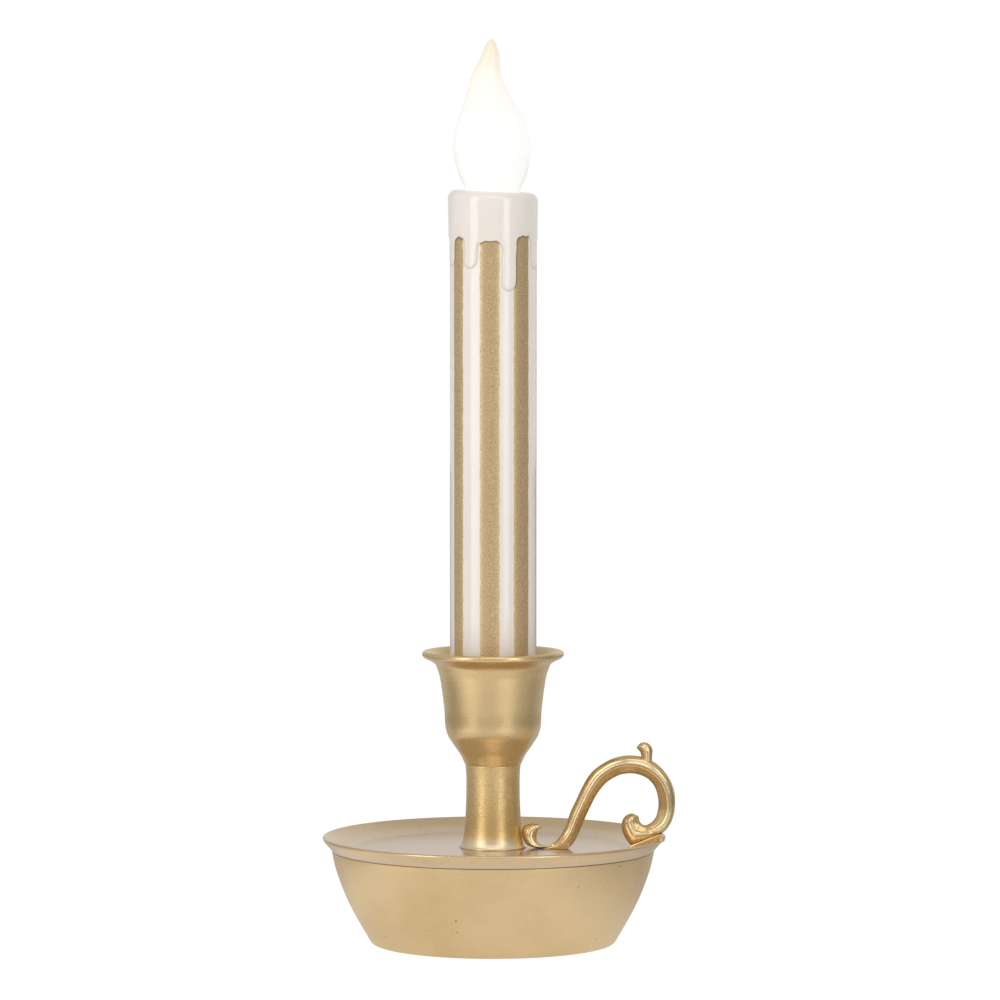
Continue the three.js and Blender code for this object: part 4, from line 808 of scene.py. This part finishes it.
def table_paper():
    """White paper that shows white to the eye but still takes the object's shadow."""
    material, tree, shader, place = new_material("white_paper")
    fibre = add_node(tree, "TexNoise", {"Vector": place, "Scale": 1 / (FIBRE_SIZE * MM), "Detail": 3.0})
    white = add_node(tree, "MixRGB", {"Fac": fibre, "Color1": linear("#f7f7f6"),
                                      "Color2": linear("#fbfbfa")})
    feed(tree, shader, Base_Color=white, Roughness=0.9)
    seen = add_node(tree, "LightPath", {}, output="Is Camera Ray")
    mirrored = add_node(tree, "LightPath", {}, output="Is Glossy Ray")
    bounce = TABLE_DIM
    for back, right, inside, outside, brightest in TABLE_POOLS:
        middle = axis + back * camera_back + right * camera_right
        away = add_node(tree, "VectorMath", {0: place, 1: middle}, operation="DISTANCE")
        pool = add_node(tree, "MapRange", {"Value": away, "From Min": inside, "From Max": outside,
                                           "To Min": brightest, "To Max": TABLE_DIM})
        bounce = add_node(tree, "Math", {0: bounce, 1: pool}, operation="MAXIMUM")
    level = add_node(tree, "MapRange", {"Value": seen, "To Min": bounce, "To Max": TABLE_SEEN})
    shown = add_node(tree, "Math", {0: seen, 1: mirrored}, operation="MAXIMUM")
    share = add_node(tree, "Math", {0: shown, 1: TABLE_GLOW}, operation="MULTIPLY")
    glow = add_node(tree, "Emission", {"Color": linear("#ffffff"), "Strength": level})
    mix = add_node(tree, "MixShader", {"Fac": share, 1: shader.outputs["BSDF"], 2: glow})
    plug(tree, tree.nodes["Material Output"].inputs["Surface"], mix)
    return material


floor_mesh = bmesh.new()
bmesh.ops.create_circle(floor_mesh, cap_ends=True, segments=128, radius=TABLE_R)
floor_data = bpy.data.meshes.new("table")
floor_mesh.to_mesh(floor_data)
floor_mesh.free()
floor_data.materials.append(table_paper())
floor = bpy.data.objects.new("table", floor_data)
scene.collection.objects.link(floor)


def look_at(obj, spot):
    """Turn a camera or a lamp to face a spot."""
    obj.rotation_euler = (spot - obj.location).to_track_quat("-Z", "Y").to_euler()


camera_data = bpy.data.cameras.new("camera")
camera_data.sensor_width = SENSOR_MM
camera_data.lens = LENS_MM
camera_data.clip_start = 0.05
camera_data.clip_end = 20
camera = bpy.data.objects.new("camera", camera_data)
camera.location = axis + camera_back * CAMERA_AWAY + Vector((0, 0, CAMERA_HEIGHT))
look_at(camera, axis + camera_right * AIM_RIGHT + Vector((0, 0, AIM_HEIGHT)))
scene.collection.objects.link(camera)
scene.camera = camera


def soft_box(name, degrees, distance, height, width, tall, radiance, glossy=True):
    """A rectangular lamp, so far round from the camera, that faces the candle with an even brightness."""
    lamp = bpy.data.lights.new(name, "AREA")
    lamp.shape = "RECTANGLE"
    lamp.size = width
    lamp.size_y = tall
    lamp.energy = radiance * math.pi * width * tall
    obj = bpy.data.objects.new(name, lamp)
    side = math.radians(CAMERA_DEGREES + degrees)
    obj.location = axis + Vector((distance * math.sin(side), -distance * math.cos(side), height))
    look_at(obj, axis + Vector((0, 0, LAMP_AIM)))
    obj.visible_camera = False
    obj.visible_glossy = glossy
    scene.collection.objects.link(obj)


soft_box("left_soft_box", -50, distance=1.0, height=0.35, width=0.4, tall=1.2, radiance=2.05)
soft_box("right_soft_box", 35, distance=1.0, height=0.35, width=0.3, tall=1.2, radiance=2.05)
soft_box("top_soft_box", 0, distance=0.55, height=1.05, width=0.7, tall=0.55, radiance=1.2)
for name, degrees in (("left_fill", -105), ("right_fill", 105)):
    soft_box(name, degrees, distance=1.0, height=0.25, width=0.8, tall=1.0, radiance=0.3, glossy=False)

TENT_DIM = 0.22
TENT_LEAN = 0.22
ahead = camera_back - TENT_LEAN * camera_right
# The tent's brighter walls: the way to each, the span over which it brightens, and its brightness.
TENT_WALLS = [(ahead, -0.4, 0.9, 0.6), (-ahead, 0.4, 1.0, 0.8), (-camera_right, 0.45, 1.0, 0.65),
              (Vector((0, 0, 1)), 0.1, 0.7, 0.55)]
world = bpy.data.worlds.new("tent")
scene.world = world
world.use_nodes = True
tent = world.node_tree
seen = add_node(tent, "LightPath", {}, output="Is Camera Ray")
through = add_node(tent, "LightPath", {}, output="Is Transmission Ray")
shown = add_node(tent, "Math", {0: seen, 1: through}, operation="MAXIMUM")
facing = add_node(tent, "TexCoord", {}, output="Generated")
brightness = TENT_DIM
for way, start, end, brightest in TENT_WALLS:
    toward = add_node(tent, "VectorMath", {0: facing, 1: way}, operation="DOT_PRODUCT")
    wall = add_node(tent, "MapRange", {"Value": toward, "From Min": start, "From Max": end,
                                       "To Min": TENT_DIM, "To Max": brightest})
    brightness = add_node(tent, "Math", {0: brightness, 1: wall}, operation="MAXIMUM")
level = add_node(tent, "MapRange", {"Value": shown, "To Min": brightness, "To Max": 1.0})
feed(tent, tent.nodes["Background"], Strength=level, Color=linear("#ffffff"))
scene.view_settings.view_transform = "Standard"
